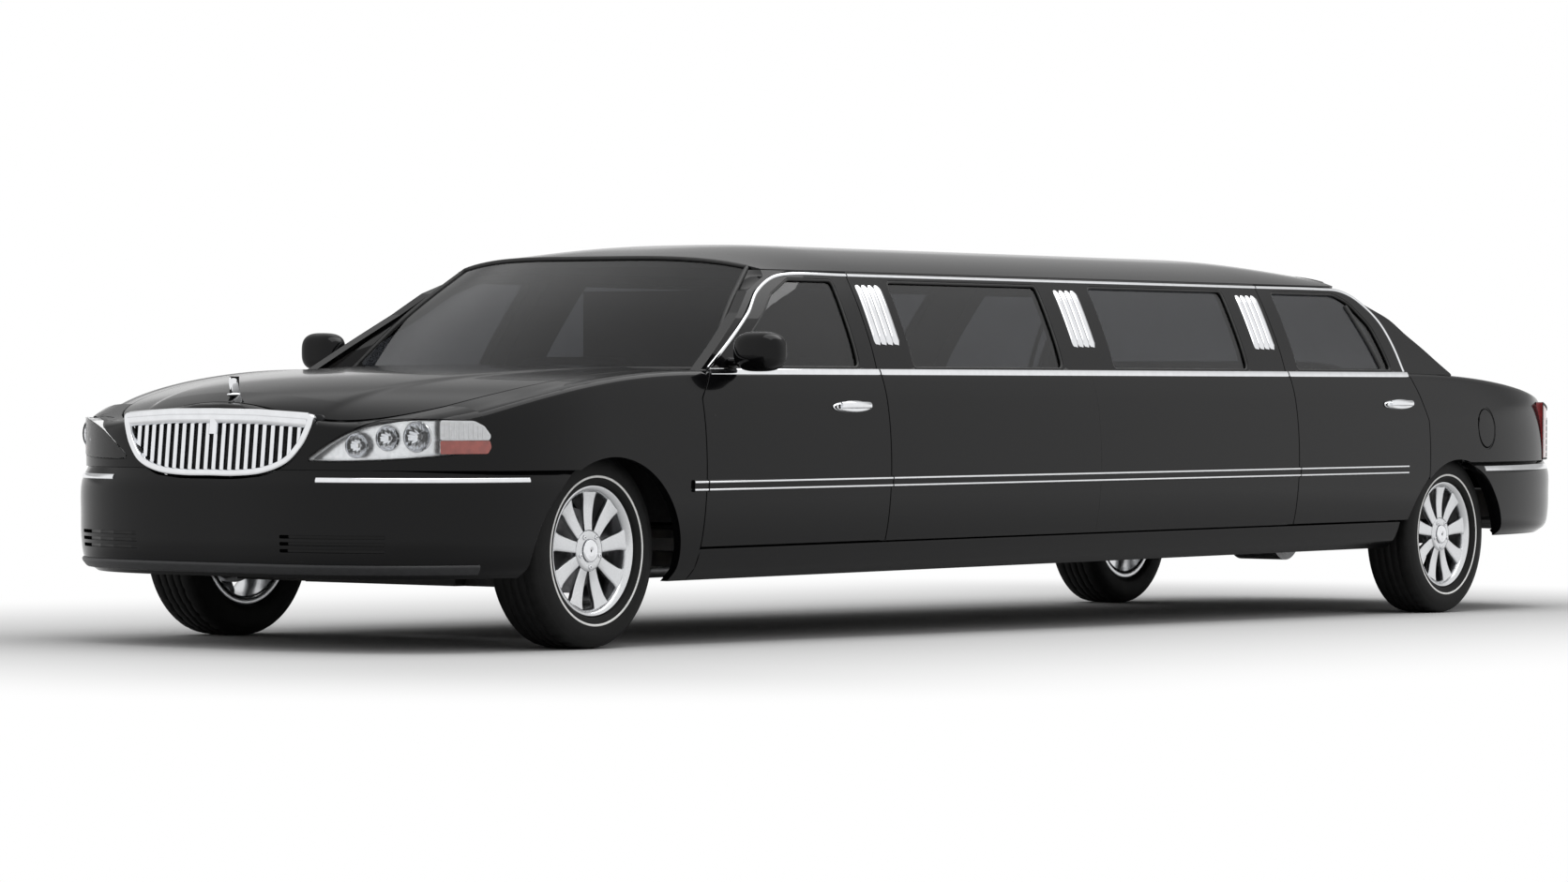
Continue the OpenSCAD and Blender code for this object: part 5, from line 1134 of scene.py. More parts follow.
TURN_LOOP = [(46.4, 0.737), (59.2, 0.737), (59.6, 0.752), (57.8, 0.784), (55.2, 0.801), (46.4, 0.803)]
MARK_LOOP = [(46.4, 0.690), (58.8, 0.691), (59.7, 0.712), (59.3, 0.7335), (46.4, 0.7335)]
TURN_OUT, BOWL_DEEP = 0.0045, 0.048
bowl_loop = grown(LAMP_LOOP, -0.004)
bowl = panel(lamp_face(BOWL_DEEP), [bowl_loop], step=0.012, lift=0, lip=0)
bowl_edge = dense(bowl_loop, 0.012)
shallow, deep = (rake(lamp_face(inset)(*bowl_edge.T)) for inset in (0.004, BOWL_DEEP))
bowl_wall = np.vstack([shallow, deep])
bowl.put(bowl_wall, quads(2, len(bowl_edge), loop_k=True), unit(deep.mean(0) - bowl_wall))

CUPS = ((0.255, 0.718, 0.041), (0.435, 0.743, 0.041), (0.615, 0.748, 0.050))  # share of the width, height, radius
CUP_N, CUP_ROWS = 28, 9
cup_axis = unit(np.array([1.0, 0.28, 0.02]))
cup_side = unit(np.cross([0, 0, 1.0], cup_axis))
cup_turn = angles(CUP_N)[:, None, None]
cup_round = np.cos(cup_turn) * cup_side + np.sin(cup_turn) * np.cross(cup_axis, cup_side)
cup_facets = np.repeat(np.arange(CUP_N) % 2 * 2 - 1, CUP_ROWS)[:, None]
dish = np.linspace(0.12, 1, CUP_ROWS)
bulb, ring = (np.linspace(0, end, CUP_ROWS) for end in (math.pi / 2 * 0.98, 2 * math.pi))
cups, bulbs, rims = Bag(), Bag(), Bag()
for share, z, r in CUPS:
    c = lamp_face(0.012)(np.array([mix(LAMP_IN, LAMP_OUT, share) * DEG]), np.array([z]))[0]
    for bag, radius, depth in ((cups, r * dish, -0.034 * (1 - dish * dish)),
                               (bulbs, r * 0.22 * np.cos(bulb), -0.020 + r * 0.26 * np.sin(bulb)),
                               (rims, r + 0.0035 * np.cos(ring), 0.003 * np.sin(ring))):
        p = (c + depth[:, None] * cup_axis + radius[:, None] * cup_round).reshape(-1, 3)
        away = unit(p - c - cup_axis * 0.01)
        if bag is cups:
            away = unit(-away + 0.30 * cup_facets * np.cross(cup_axis, away) + 0.35 * cup_axis)
        bag.put(rake(p), quads(CUP_N, CUP_ROWS, loop_m=True, back=True), rake_dir(away))
lamp_ribs = Bag()
for deg in np.linspace(TURN_LOOP[0][0] + 1.2, TURN_LOOP[1][0] - 1.6, 9):
    zs = np.linspace(TURN_LOOP[0][1] + 0.006, np.interp(deg, *np.array(TURN_LOOP[:2:-1]).T) - 0.008, 8)
    lamp_ribs.sweep(*on(lamp_face(-TURN_OUT), level(zs, deg * DEG), zs), oval(0.0045, 0.0022, 10))
lens = slab(lamp_face(-0.003), lamp_face(0.0015), grown(LAMP_LOOP, -0.001), 0.012, 1)
pair(lens, "lamp_lens", BOTH, CLEAR, "lamp_clear", ("headlamps",))
pair(bowl, "lamp_bowl", BOTH, LAMP_SILVER, "chrome")
pair(cups, "lamp_cups", BOTH, CHROME, "chrome")
pair(bulbs, "lamp_bulbs", BOTH, LAMP_SILVER, "chrome")
pair(rims, "lamp_rims", BOTH, CHROME, "chrome")
pair(lamp_ribs, "lamp_ribs", BOTH, LAMP_TURN, "lamp_clear")
pair(lamp_block(TURN_LOOP, TURN_OUT, 0.008, 0.013), "lamp_turn", BOTH, LAMP_TURN, "lamp_clear")
pair(lamp_block(MARK_LOOP, 0.0055, 0.006, 0.014), "lamp_marker", BOTH, LAMP_AMBER, "lamp_red")


# Tail lamps: red cover with ribs, wrapped round the rear corner
def tail_face(inset):
    return bow_face(rear_bow, TAIL_L, inset)


def tail_top(x):
    t = clamp((RA - LAMP_FRONT - x) / (TAIL_END - LAMP_FRONT))
    return mix(crest_z(RA - LAMP_FRONT), crest_z(RA - TAIL_END), t) - 0.0306


TAIL_IN, TAIL_OUT = 30.0, 61.0
tail_out = min(TAIL_OUT, edge_angle(tail_face(0.0), REAR_LOW, lambda p: p[0] < RA - LAMP_FRONT - 0.001) / DEG)
tail_a = np.linspace(TAIL_IN, tail_out, 24) * DEG
tail_rise = tail_top(tail_face(0.0)(tail_a, level(tail_a, 0.7))[:, 0])
tail_loop = [(a, REAR_LOW + 0.001) for a in tail_a] + list(zip(tail_a[::-1], tail_rise[::-1]))
tail_loop = rounded(tail_loop, 0.02, 5)
tail_skin, tail_high = tail_face(-0.001), crest_z(RA - TAIL_END)
tail_frame = Bag().sweep(*on(tail_skin, *dense(grown(tail_loop, -0.004), 0.012).T, -1), strip(0.009, 0.004), True)
zs = np.linspace(REAR_LOW + 0.012, tail_high - 0.052, 10)
for share in (0.34, 0.67):
    tail_frame.sweep(*on(tail_skin, level(zs, mix(TAIL_IN, tail_out, share) * DEG), zs, -1), strip(0.006, 0.003))
tail_bars, reverse = Bag(), Bag()
a = np.linspace(TAIL_IN + 1.5, tail_out - 1.0, 26) * DEG
for z in np.arange(REAR_LOW + 0.035, tail_high - 0.05, 0.030):
    tail_bars.sweep(*on(tail_skin, a, level(a, z), -1), strip(0.010, 0.0020))
a = np.linspace(TAIL_IN + 2.0, TAIL_IN + 11.0, 14) * DEG
for z in (0.700, 0.712, 0.724):
    reverse.sweep(*on(tail_skin, a, level(a, z), -1), strip(0.011, 0.0026))
tail_cover = slab(tail_face(-0.0012), tail_face(0.05), tail_loop, 0.014, -1)
pair(tail_frame, "tail_frame", BOTH, GASKET, "trim")
pair(tail_cover, "tail_cover", BOTH, LAMP_RED, "lamp_red", ("tail_lamps",))
pair(tail_bars, "tail_bars", BOTH, LAMP_RED, "lamp_red")
pair(reverse, "tail_reverse", BOTH, WHITE_RUBBER, "lamp_clear")

# Glass: side panes, windshield and rear window as smooth closed shells
PANE_IN, PANE_T = 0.012, 0.005
for tag, loops, bodies, nodes in (("front", [front_win], FRONT_DOORS, ("glass_fl", "glass_fr")),
                                  ("rear", [rear_win], REAR_DOORS, ("glass_rl", "glass_rr")),
                                  ("centre", centre_wins, BOTH, ("side_glass",))):
    glass, seal = Bag(), Bag()
    for loop in loops:
        glass.join(slab(lambda a, b: window(a, b, PANE_IN), lambda a, b: window(a, b, PANE_IN + PANE_T),
                        grown(loop, -0.0005), 0.03, -1))
        p, n = on(window, *dense(grown(loop, -0.004), 0.02).T, -1)
        seal.sweep(p - n * 0.006, n, oval(0.006, 0.006, 8), True)
    pair(glass, "pane_" + tag, bodies, GLASS, "glass", nodes)
    pair(seal, "seal_" + tag, bodies, GASKET, "trim")


def screen(half, half_top, x_low, z_low, bow_l, roof_x, way, depth):
    """Curved pane from the cowl or deck up to the roof's edge."""
    def surf(u, v):
        v = 2 * v - 1
        y0, y1 = half * v, half_top * v
        x1 = roof_x(y1) + 0.0018 * way
        bulge = 0.018 * np.sin(math.pi * u) * way
        return np.stack([mix(x_low + bow_l * roof_bow(y0) * way, x1, u) + bulge, mix(y0, y1, u),
                         mix(z_low, roof_top(x1, y1) - 0.006, u) + bulge * 0.6 * way - depth], -1)
    return surf


FRONT_SCREEN = (0.845, 0.672, FA - 0.700, BELT_Z + 0.006, 0.120, roof_front_x, 1)
REAR_SCREEN = (0.835, 0.650, RA - 0.075, BELT_Z + 0.020, 0.150, roof_rear_x, -1)
SCREEN_EDGE = np.array([(0, v) for v in np.linspace(0, 1, 40)] + [(u, 1) for u in np.linspace(0, 1, 20)[1:]]
                       + [(1, v) for v in np.linspace(1, 0, 40)[1:]] + [(u, 0) for u in np.linspace(1, 0, 20)[1:-1]])
for name, replaced, sizes, face in (("windshield_pane", "windshield", FRONT_SCREEN, -1),
                                    ("rear_pane", "rear_window", REAR_SCREEN, 1)):
    outer = screen(*sizes, 0.0)
    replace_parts(closed_patch(outer, screen(*sizes, 0.006), 30, 49, face).add(name, ROOT, GLASS, "glass"), replaced)
    p = outer(*SCREEN_EDGE.T)
    mid = outer(*np.clip(SCREEN_EDGE, (0.06, 0.04), (0.94, 0.96)).T)
    n = unit(np.cross(np.roll(p, -1, 0) - np.roll(p, 1, 0), mid - p))
    Bag().sweep(p, n * np.sign(n[:, 2:]), oval(0.010, 0.010, 8), True).add(name + "_seal", ROOT, GASKET, "trim")

# Painted strip between the windshield's edge and the side's pillar
screen_edge = screen(*FRONT_SCREEN, 0.002)(np.linspace(0, 1, 60), np.ones(60))
pillar_edge = np.array(A_FRONT)


def strip_between(drop):
    def surf(u, v):
        z = mix(BELT_Z + 0.010, FRAME_TOP + 0.003, u)
        p = np.stack([np.interp(z, screen_edge[:, 2], screen_edge[:, i]) for i in range(3)], -1)
        q = window(np.interp(z, pillar_edge[:, 1], pillar_edge[:, 0]), z)
        return mix(p, q, v[:, None]) - np.array([drop, drop, drop * 0.5])
    return surf


pair(closed_patch(strip_between(0.0), strip_between(0.006), 30, 7, 1), "screen_strip", BOTH, PAINT, "paint")


# Chrome lines: belt, roof rail, and round the window frames, split at the door cuts
def belt_line(x0, x1):
    x = np.linspace(x0, x1, 40)
    p = np.stack([x, level(x, HALF_W * (1 - 0.058) - 0.001), level(x, BELT_Z - 0.0015)], -1)
    return p, np.tile(unit(np.array([0, 1.0, 0.42])), (len(x), 1))


def on_window(pts):
    return on(window, *np.asarray(pts, float).T, -1)


TOP_LINE = DRIP_Z - 0.012
b_top, d_top = lean(B_CUT, TOP_LINE), lean(D_CUT, TOP_LINE)
a_in = [(x - 0.012, min(z, TOP_LINE)) for x, z in A_EDGE]
c_in = [(x + 0.012, min(z, TOP_LINE)) for x, z in C_EDGE]
front_run = curve(np.array([(a_in[0][0], FRAME_LOW + 0.01)] + a_in[1:] + [(b_top + GAP, TOP_LINE)]), 70)
rear_run = curve(np.array([(d_top - GAP, TOP_LINE)] + c_in[:-1] + [(c_in[-1][0], FRAME_LOW + 0.01)]), 70)
mid_run = [(x, TOP_LINE) for x in np.linspace(b_top - GAP, d_top + GAP, 40)]
for name, bodies, x0, x1, run in (
        ("door_chrome_front", FRONT_DOORS, A_EDGE[0][0] - 0.006, B_CUT + GAP + 0.001, front_run),
        ("centre_chrome", BOTH, B_CUT - GAP - 0.001, D_CUT + GAP + 0.001, mid_run),
        ("door_chrome_rear", REAR_DOORS, D_CUT - GAP - 0.001, C_CUT + 0.004, rear_run)):
    chrome = Bag().sweep(*belt_line(x0, x1), strip(0.026, 0.0075, 11, 3.4))
    pair(chrome.sweep(*on_window(run), strip(0.013, 0.0055)), name, bodies, CHROME, "chrome")
hs = np.linspace(0, 1, 14)
p, n = on(window, C_CUT + mix(0.178, 0.243, hs), mix(FRAME_LOW + 0.030, 1.275, hs), -1)
pair(Bag().sweep(p - n * 0.010, n, strip(0.026, 0.009)), "window_bar_rear", REAR_DOORS, GASKET, "trim")


# Side moulding with two chrome lines, one length per panel
def on_side(x, z):
    return on(wing, x, np.array([wing_t(a, b) for a, b in zip(x, z)]), -1)


MOULD_LOW, MOULD_TOP = 0.545, 0.588
for tag, x0, x1, bodies in (("fender", FA - 0.452, FRONT_CUT + GAP, BOTH),
                            ("front", FRONT_CUT - GAP, B_CUT + GAP, FRONT_DOORS),
                            ("centre", B_CUT - GAP, D_CUT + GAP, BOTH),
                            ("rear", D_CUT - GAP, RA + 0.462, REAR_DOORS)):
    x = np.linspace(x0, x1, 24)
    moulding = Bag().sweep(*on_side(x, level(x, (MOULD_LOW + MOULD_TOP) / 2)),
                           strip(MOULD_TOP - MOULD_LOW, 0.010, 13, 5.0))
    lines = Bag()
    for z in (MOULD_LOW + 0.008, MOULD_TOP - 0.008):
        p, n = on_side(x, level(x, z))
        lines.sweep(p + n * 0.0085, n, strip(0.0075, 0.0035, 7, 2.4))
    pair(moulding, "moulding_" + tag, bodies, PAINT, "gloss_black")
    pair(lines, "moulding_line_" + tag, bodies, CHROME, "chrome")


# Bumper strips: beside the grille in front, along the top edge behind, and a lip below
def bumper_line(bag, surf, a, b, section, lift=0.0005):
    p, n = on(surf, a, level(a, b))
    return bag.sweep(p + n * lift, n, section)


front_strip = Bag()
for way in (1, -1):
    a = np.linspace(y_to_angle(0.47), y_to_angle(0.962), 60) * way
    bumper_line(front_strip, front_surf, a, front_row_of(BUMPER_TOP - 0.033), strip(0.020, 0.006, 9, 2.6))
front_strip.add("front_bumper_strip", ROOT, CHROME, "chrome")
a_end = min(a for a, _ in end_r[-6:])
bumper_line(Bag(), rear_surf, np.linspace(-a_end, a_end, 120), rear_row_of(REAR_BUMPER_TOP - 0.030),
            strip(0.024, 0.006, 9, 2.6)).add("rear_bumper_strip", ROOT, CHROME, "chrome")
a_end = y_to_angle(0.90)
bumper_line(Bag(), front_surf, np.linspace(-a_end, a_end, 90), front_row_of(BUMPER_LOW + 0.032), strip(0.040, 0.010),
            0.0).add("chin_lip", ROOT, LIP, "trim")


# Door handles: oval chrome pads with a grip and a dark lock
def dome(x0, z0, rx, rz, height, power, base):
    """Domed oval on the side."""
    m, k = 48, 10
    r, t = (g.ravel() for g in np.meshgrid(np.linspace(0.02, 1, k), angles(m), indexing="ij"))
    p, n = on_side(x0 + rx * r * np.cos(t), z0 + rz * r * np.sin(t))
    p = p + n * (height * (1 - r ** power) ** (1 / 2.2) + base)[:, None]
    e = p.reshape(k, m, 3)
    out = unit(np.cross(np.gradient(e, axis=0), np.roll(e, -1, 1) - np.roll(e, 1, 1))).reshape(-1, 3)
    out *= np.sign(np.einsum("ij,ij->i", out, n))[:, None]
    return Bag().put(rake(p), quads(k, m, loop_k=True) + [tuple(range(m))[::-1]], rake_dir(out))


HANDLE_Z = 0.846
for tag, x0, lock_x, bodies in (("front", B_CUT + 0.230, 0.100, FRONT_DOORS),
                                ("rear", C_CUT + 0.146, -0.100, REAR_DOORS)):
    x = np.linspace(x0 - 0.092, x0 + 0.092, 26)
    p, n = on_side(x, level(x, HANDLE_Z + 0.003))
    rise = 0.016 + 0.010 * np.sqrt(clamp(1 - ((x - x0) / 0.094) ** 2))
    grip = Bag().sweep(p + n * rise[:, None], n, oval(0.0125, 0.006, 12))
    pair(dome(x0, HANDLE_Z, 0.124, 0.0235, 0.016, 6.0, 0.0008), "handle_pad_" + tag, bodies, CHROME, "chrome")
    pair(grip, "handle_grip_" + tag, bodies, CHROME, "chrome")
    pair(dome(x0 + lock_x, HANDLE_Z, 0.009, 0.009, 0.003, 4.0, 0.012), "handle_lock_" + tag, bodies, GASKET, "trim")

# Louvres: half-round ribs that lean with the door cuts
louvres, zs = Bag(), np.linspace(mix(BELT_Z, DRIP_Z, 0.28), mix(BELT_Z, DRIP_Z, 0.86), 16)
taper = np.minimum(1, np.minimum(np.arange(16), np.arange(16)[::-1]) / 1.5 + 0.35)
for x0 in (B_CUT - share * CENTRE_L - i * 0.041 - 0.0185 for share in (0.010, 0.468, 0.934) for i in range(4)):
    p, n = on_window([(lean(x0, z), z) for z in zs])
    louvres.sweep(p - n * (0.010 * (1 - taper))[:, None], n, half_oval(0.0195, 0.0105, 0.0, 0.0195, -0.003))
pair(louvres, "louvre_ribs", BOTH, CHROME, "chrome", ("louvres",))

# Thin weld line in the middle of the stretched panel
SEAM_SECTION = [(0.0011, 0.0008), (0.0, 0.0011), (-0.0011, 0.0008), (-0.0011, -0.002), (0.0011, -0.002)]
seam = Bag()
for z0, z1 in ((DOOR_LOW + 0.01, MOULD_LOW - 0.004), (MOULD_TOP + 0.004, BELT_Z - 0.018)):
    zs = np.linspace(z0, z1, 14)
    p, n = on_side(level(zs, B_CUT - 0.487 * CENTRE_L), zs)
    seam.sweep(p + n * 0.0001, n, SEAM_SECTION)
pair(seam, "panel_seam", BOTH, SEAM, "gloss_black")

# Mirrors: smooth housings with glass facing back
MIRROR = np.array([FA - 0.790, HALF_W + 0.040, BELT_Z + 0.072])
MIRROR_R = (0.060, 0.096, 0.072)
MIRROR_BACK = -0.030


def swept_back(v):
    """Mirror points moved back toward the outer end."""
    v[:, 0] -= 0.018 * clamp(v[:, 1] / MIRROR_R[1])
    return v


v, f, n = ellipsoid(MIRROR_R, 2.9, 40, 56)
flat = v[:, 0] < MIRROR_BACK
v[flat, 0] = MIRROR_BACK + (v[flat, 0] - MIRROR_BACK) * 0.12
house = Bag().put(rake(swept_back(v) + MIRROR), f, rake_dir(n))
foot = curve(np.array([(MIRROR[0] + 0.006, HALF_W * 0.915, BELT_Z + 0.036),
                       (MIRROR[0] + 0.004, HALF_W - 0.02, BELT_Z + 0.038),
                       (MIRROR[0], MIRROR[1] - 0.02, BELT_Z + 0.044)]), 14)
house.sweep(foot, np.tile([0, 0, 1.0], (14, 1)), oval(0.034, 0.016, 18))
pair(house, "mirror_housing", FRONT_DOORS, PAINT, "paint", ("mirror_l", "mirror_r"))
v, f, n = ellipsoid((0.004, 0.078, 0.056), 2.8, 14, 40)
mirror_glass = Bag().put(rake(swept_back(v) + MIRROR + (-0.0365, 0, 0)), f, rake_dir(n))
pair(mirror_glass, "mirror_glass", FRONT_DOORS, CHROME, "glass")

# Trunk liner: floor, walls and a rim under the lid; bulkhead with side wings and a shelf in front of it
LINER_TOP = 0.868
LINER = [(-0.775, 0.872), (-0.672, LINER_TOP), (-0.652, 0.850), (-0.640, 0.660), (-0.610, 0.628), (-0.30, 0.624)]
LINER += [(-y, z) for y, z in reversed(LINER)]
liner_x = np.concatenate([[-3.215, -3.222], np.linspace(-3.26, -3.92, 12), [-3.955, -3.962]])
liner_up = np.concatenate([[0.94, 0.25], np.zeros(12), [0.25, 0.94]])
liner_w = np.interp(liner_x, [-3.97, -3.80, -3.60], [0.90, 0.97, 1.0])
liner = np.array([[(x, y * w, mix(z, LINER_TOP, up) if z < LINER_TOP else z) for y, z in LINER]
                  for x, up, w in zip(liner_x, liner_up, liner_w)])
Bag().sheet(liner).add("trunk_liner", ROOT, CARPET, "trim")
WALL_HALF, WALL_X = 0.925, -2.400
along, up = np.meshgrid(np.linspace(-1, 1, 121), np.linspace(0, 1, 16), indexing="ij")
y = WALL_HALF * np.clip(along / 0.8, -1, 1)
x = WALL_X - 0.20 * clamp((np.abs(along) - 0.8) / 0.2)
arch_top = 0.255 + np.sqrt(ARCH_R ** 2 - np.minimum(ARCH_R, x - RA) ** 2)
wall = np.stack([x - 0.004 * np.cos(y * 40) ** 2, y, mix(np.maximum(0.50, arch_top), 0.972, up)], -1)
x, y = np.meshgrid(np.linspace(-3.212, -2.408, 60), np.linspace(-WALL_HALF, WALL_HALF, 61), indexing="ij")
shelf = np.stack([x, y, 0.705 + 0.004 * np.cos(x * 40) ** 2], -1)
Bag().sheet(wall).sheet(shelf, -1).add("trunk_bulkhead", ROOT, CARPET, "trim")

# Upright blade on the hood's nose, on a flat foot
blade, blade_x = Bag(), FA + NOSE_L - 0.135 + 0.021
for r, power, rows, forward, up in (((0.0235, 0.0050, 0.036), 3.0, 30, 0.010, 0.034),
                                    ((0.034, 0.014, 0.007), 2.4, 16, 0.0, 0.008)):
    v, f, n = ellipsoid(r, power, rows, 36)
    v[:, 0] += forward * v[:, 2] / r[2]
    blade.put(rake(v + (blade_x, 0, float(centre_z(blade_x)) + up)), f, rake_dir(n))
blade.add("hood_blade", "hood", CHROME, "chrome")


# Wheels: profiles of radius and distance along the axle
RIM_PROFILE = [(0.2000, -0.088), (0.2130, -0.092), (0.2290, -0.0945), (0.2320, -0.090), (0.2315, -0.084),
               (0.2170, -0.080), (0.2135, -0.070), (0.2135, 0.070), (0.2180, 0.079), (0.2305, 0.0825),
               (0.2325, 0.0880), (0.2305, 0.0940), (0.2250, 0.0950), (0.2170, 0.0900), (0.2090, 0.0820),
               (0.2040, 0.0700), (0.2010, 0.0500)]
HUB_PROFILE = [(0.001, 0.046), (0.070, 0.046), (0.0740, 0.052), (0.0745, 0.0730), (0.0715, 0.0790), (0.0640, 0.0808),
               (0.0460, 0.0812), (0.0440, 0.0790), (0.001, 0.0790)]
CAP_PROFILE = [(0.0005, 0.0790), (0.0405, 0.0790), (0.0412, 0.0835), (0.0385, 0.0868), (0.0330, 0.0880),
               (0.0300, 0.0872), (0.0200, 0.0890), (0.0005, 0.0896)]
BAND_PROFILE = [(0.2560, 0.1080), (0.2568, 0.1112), (0.2590, 0.1122), (0.2625, 0.1124), (0.2645, 0.1118),
                (0.2650, 0.1080)]
SIDEWALL = [(0.2145, 0.0790), (0.2330, 0.0825), (0.2345, 0.0980), (0.2400, 0.1045), (0.2440, 0.1050),
            (0.2465, 0.1085), (0.2550, 0.1102), (0.2700, 0.1120), (0.2850, 0.1125), (0.2900, 0.1117),
            (0.2930, 0.1123), (0.3080, 0.1100), (0.3200, 0.1058), (0.3280, 0.1010), (0.3300, 0.1018),
            (0.3370, 0.0945), (0.3415, 0.0870), (0.3430, 0.0800)]
HALF_TREAD = [(0.3440, 0.0700), (0.3445, 0.0540), (0.3370, 0.0530), (0.3370, 0.0455), (0.3448, 0.0445),
              (0.3450, 0.0214), (0.3370, 0.0204), (0.3370, 0.0134), (0.3450, 0.0124), (0.3450, 0.0)]
SPOKES, LUGS, TYRE_N = 9, 5, 180
SPOKE_IN, SPOKE_OUT, SPOKE_T = 0.058, 0.2065, 0.0105
half_tyre = np.array(SIDEWALL + HALF_TREAD)
TYRE_PROFILE = np.vstack([half_tyre, half_tyre[::-1][1:] * (1, -1)])
tread_r, tread_y = TYRE_PROFILE[:, 0], np.abs(TYRE_PROFILE[:, 1])
# Cross cuts in the tread: first row, rows between cuts, points that are cut, depth
TREAD_CUTS = ((0, 5, (tread_y > 0.0535) & (tread_y < 0.088) & (tread_r > 0.335), 0.0055),
              (3, 6, (tread_y < 0.045) & (tread_r > 0.340), 0.003))


def wheel(tag, at, side):
    body = "wheel_" + tag

    def spin(r, w, angle, offset=0.0):
        c, s = math.cos(angle), math.sin(angle)
        return at + np.array([r * c - offset * s, side * w, r * s + offset * c])

    rim = Bag().lathe(RIM_PROFILE, 96, at, side).lathe(HUB_PROFILE, 72, at, side)
    for angle in math.pi / 2 + angles(SPOKES):
        rings = []
        for r in np.linspace(SPOKE_IN, SPOKE_OUT, 12):
            t = (r - SPOKE_IN) / (SPOKE_OUT - SPOKE_IN)
            half = mix(0.0200, 0.0345, t ** 1.2) + 0.006 * max(0.0, t - 0.85) / 0.15
            mid = 0.0765 - 0.006 * math.sin(math.pi * t) + 0.004 * t - SPOKE_T
            rings.append([spin(r, mid + SPOKE_T * signed_power(math.sin(a), 0.35), angle,
                               half * signed_power(math.cos(a), 0.35)) for a in angles(20)])
        rim.loft(rings)
    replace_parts(rim.add("wheel_rim_" + tag, body, ALLOY, "alloy"), "rim_" + tag)
    cap = Bag().lathe(CAP_PROFILE, 56, at, side)
    for angle in math.pi / 2 + angles(LUGS) + math.pi / LUGS:
        cap.loft([[spin(0.0570, w, angle) + (x, 0, z) for x, z in oval(r, r, 12)]
                  for w, r in ((0.0780, 0.0085), (0.0835, 0.0085), (0.0850, 0.0070), (0.0852, 0.0030))])
    cap.add("wheel_cap_" + tag, body, CHROME, "chrome")
    tyre = Bag().lathe(TYRE_PROFILE * (TYRE_R / 0.345, 1.0), TYRE_N, at, side)
    tread = tyre.v[0].reshape(TYRE_N, -1, 3)
    for start, pitch, cut, depth in TREAD_CUTS:
        for row in tread[start::pitch]:
            row[cut] = at + (row[cut] - at) * (1 - depth / 0.344, 1, 1 - depth / 0.344)
    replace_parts(tyre.add("wheel_tyre_" + tag, body, RUBBER, "tyre"), "tyre_" + tag)
    Bag().lathe(BAND_PROFILE, 120, at, side).add("wheel_band_" + tag, body, WHITE_RUBBER, "tyre")


for tag in ("fl", "fr", "rl", "rr"):
    wheel(tag, np.asarray(wheel_box(tag)[0]), 1 if tag.endswith("l") else -1)


# Cabin: upholstered seats on plinths, dashboard cover
FLOOR_TOP = 0.4026


def cushion(name, lo, hi, face_axis, seams_axis, pitch):
    """Crowned pad in a box, drawn in along its sewn channels. face_axis is the side that people touch."""
    lo, hi = np.asarray(lo, float) + 0.003, np.asarray(hi, float) - 0.003
    r = (hi - lo) / 2
    v, f, _ = ellipsoid(r, 7.0, 64, 128)
    share = v / r
    other_axis = 3 - face_axis - seams_axis
    face, across, other = (share[:, axis] for axis in (face_axis, seams_axis, other_axis))
    count = max(2, int(round(2 * r[seams_axis] / pitch)))
    step = 2 * r[seams_axis] / count
    place = (across + 1) * r[seams_axis] / step
    groove = np.exp(-(np.abs(place - np.round(place)) * step / 0.010) ** 2)
    edge = clamp((1 - np.abs(other)) / 0.22)
    sag = 0.018 * (across ** 2 * 0.5 + other ** 2 * 0.5)
    v[:, face_axis] -= clamp((face - 0.3) / 0.5) * (0.016 * groove * edge + sag)
    waist = 0.012 * (1 - face ** 2)
    for axis in (seams_axis, other_axis):
        v[:, axis] -= np.sign(share[:, axis]) * waist * clamp((np.abs(share[:, axis]) - 0.6) / 0.4)
    obj = add(name, rake(v + (lo + hi) / 2), f, ROOT, LEATHER)
    return obj


def plinth(name, lo, hi):
    lo, hi = np.asarray(lo, float) + 0.002, np.asarray(hi, float) - 0.002
    v, f, _ = ellipsoid((hi - lo) / 2, 14.0, 24, 48)
    return add(name, rake(v + (lo + hi) / 2), f, ROOT, TRIM)


SEAT_T = 0.140
SEAT_Z, BACK_Z, BASE_Z, BOX_Z = (FLOOR_TOP + h for h in (0.190, 0.640, 0.055, 0.137))
SIDES = (("l", 1), ("r", -1))
seat_x1 = FA - 1.140
seat_x0 = seat_x1 - 0.520
seats = []
for tag, way in SIDES:
    y0, y1 = sorted((HALF_W * 0.15075 * way, HALF_W * (0.15075 + 0.56281) * way))
    plinth("seat_base_" + tag, (seat_x0, y0, FLOOR_TOP), (seat_x1, y1, BASE_Z))
    seats.append(cushion("seat_pad_" + tag, (seat_x0, y0, BASE_Z), (seat_x1, y1, SEAT_Z), 2, 1, 0.14))
    cushion("seat_back_" + tag, (seat_x0, y0, SEAT_Z), (seat_x0 + SEAT_T, y1, BACK_Z), 0, 1, 0.14)
bench_x0, bench_w = RA + 0.440, HALF_W * 0.72362
bench_x1 = bench_x0 + 0.560
for tag, way in SIDES:
    y0, y1 = sorted((0.150 * way, bench_w * way))
    plinth("bench_base_" + tag, (bench_x0, y0, FLOOR_TOP), (bench_x1, y1, BASE_Z))
    plinth("bench_box_" + tag, (bench_x0, y0, BASE_Z), (bench_x1, y1, BOX_Z))
cushion("bench_pad", (bench_x0, -bench_w, BOX_Z - 0.002), (bench_x1, bench_w, SEAT_Z), 2, 1, 0.16)
cushion("bench_back", (bench_x0, -bench_w, SEAT_Z), (bench_x0 + SEAT_T, bench_w, BACK_Z), 0, 1, 0.16)
side_x0, side_y1, SIDE_BASE_Z = bench_x1 + 0.020, 0.480 - bench_w, FLOOR_TOP + 0.070
side_x1 = side_x0 + CENTRE_L * 0.63758
plinth("side_bench_base", (side_x0, -bench_w, FLOOR_TOP), (side_x1, side_y1, SIDE_BASE_Z))
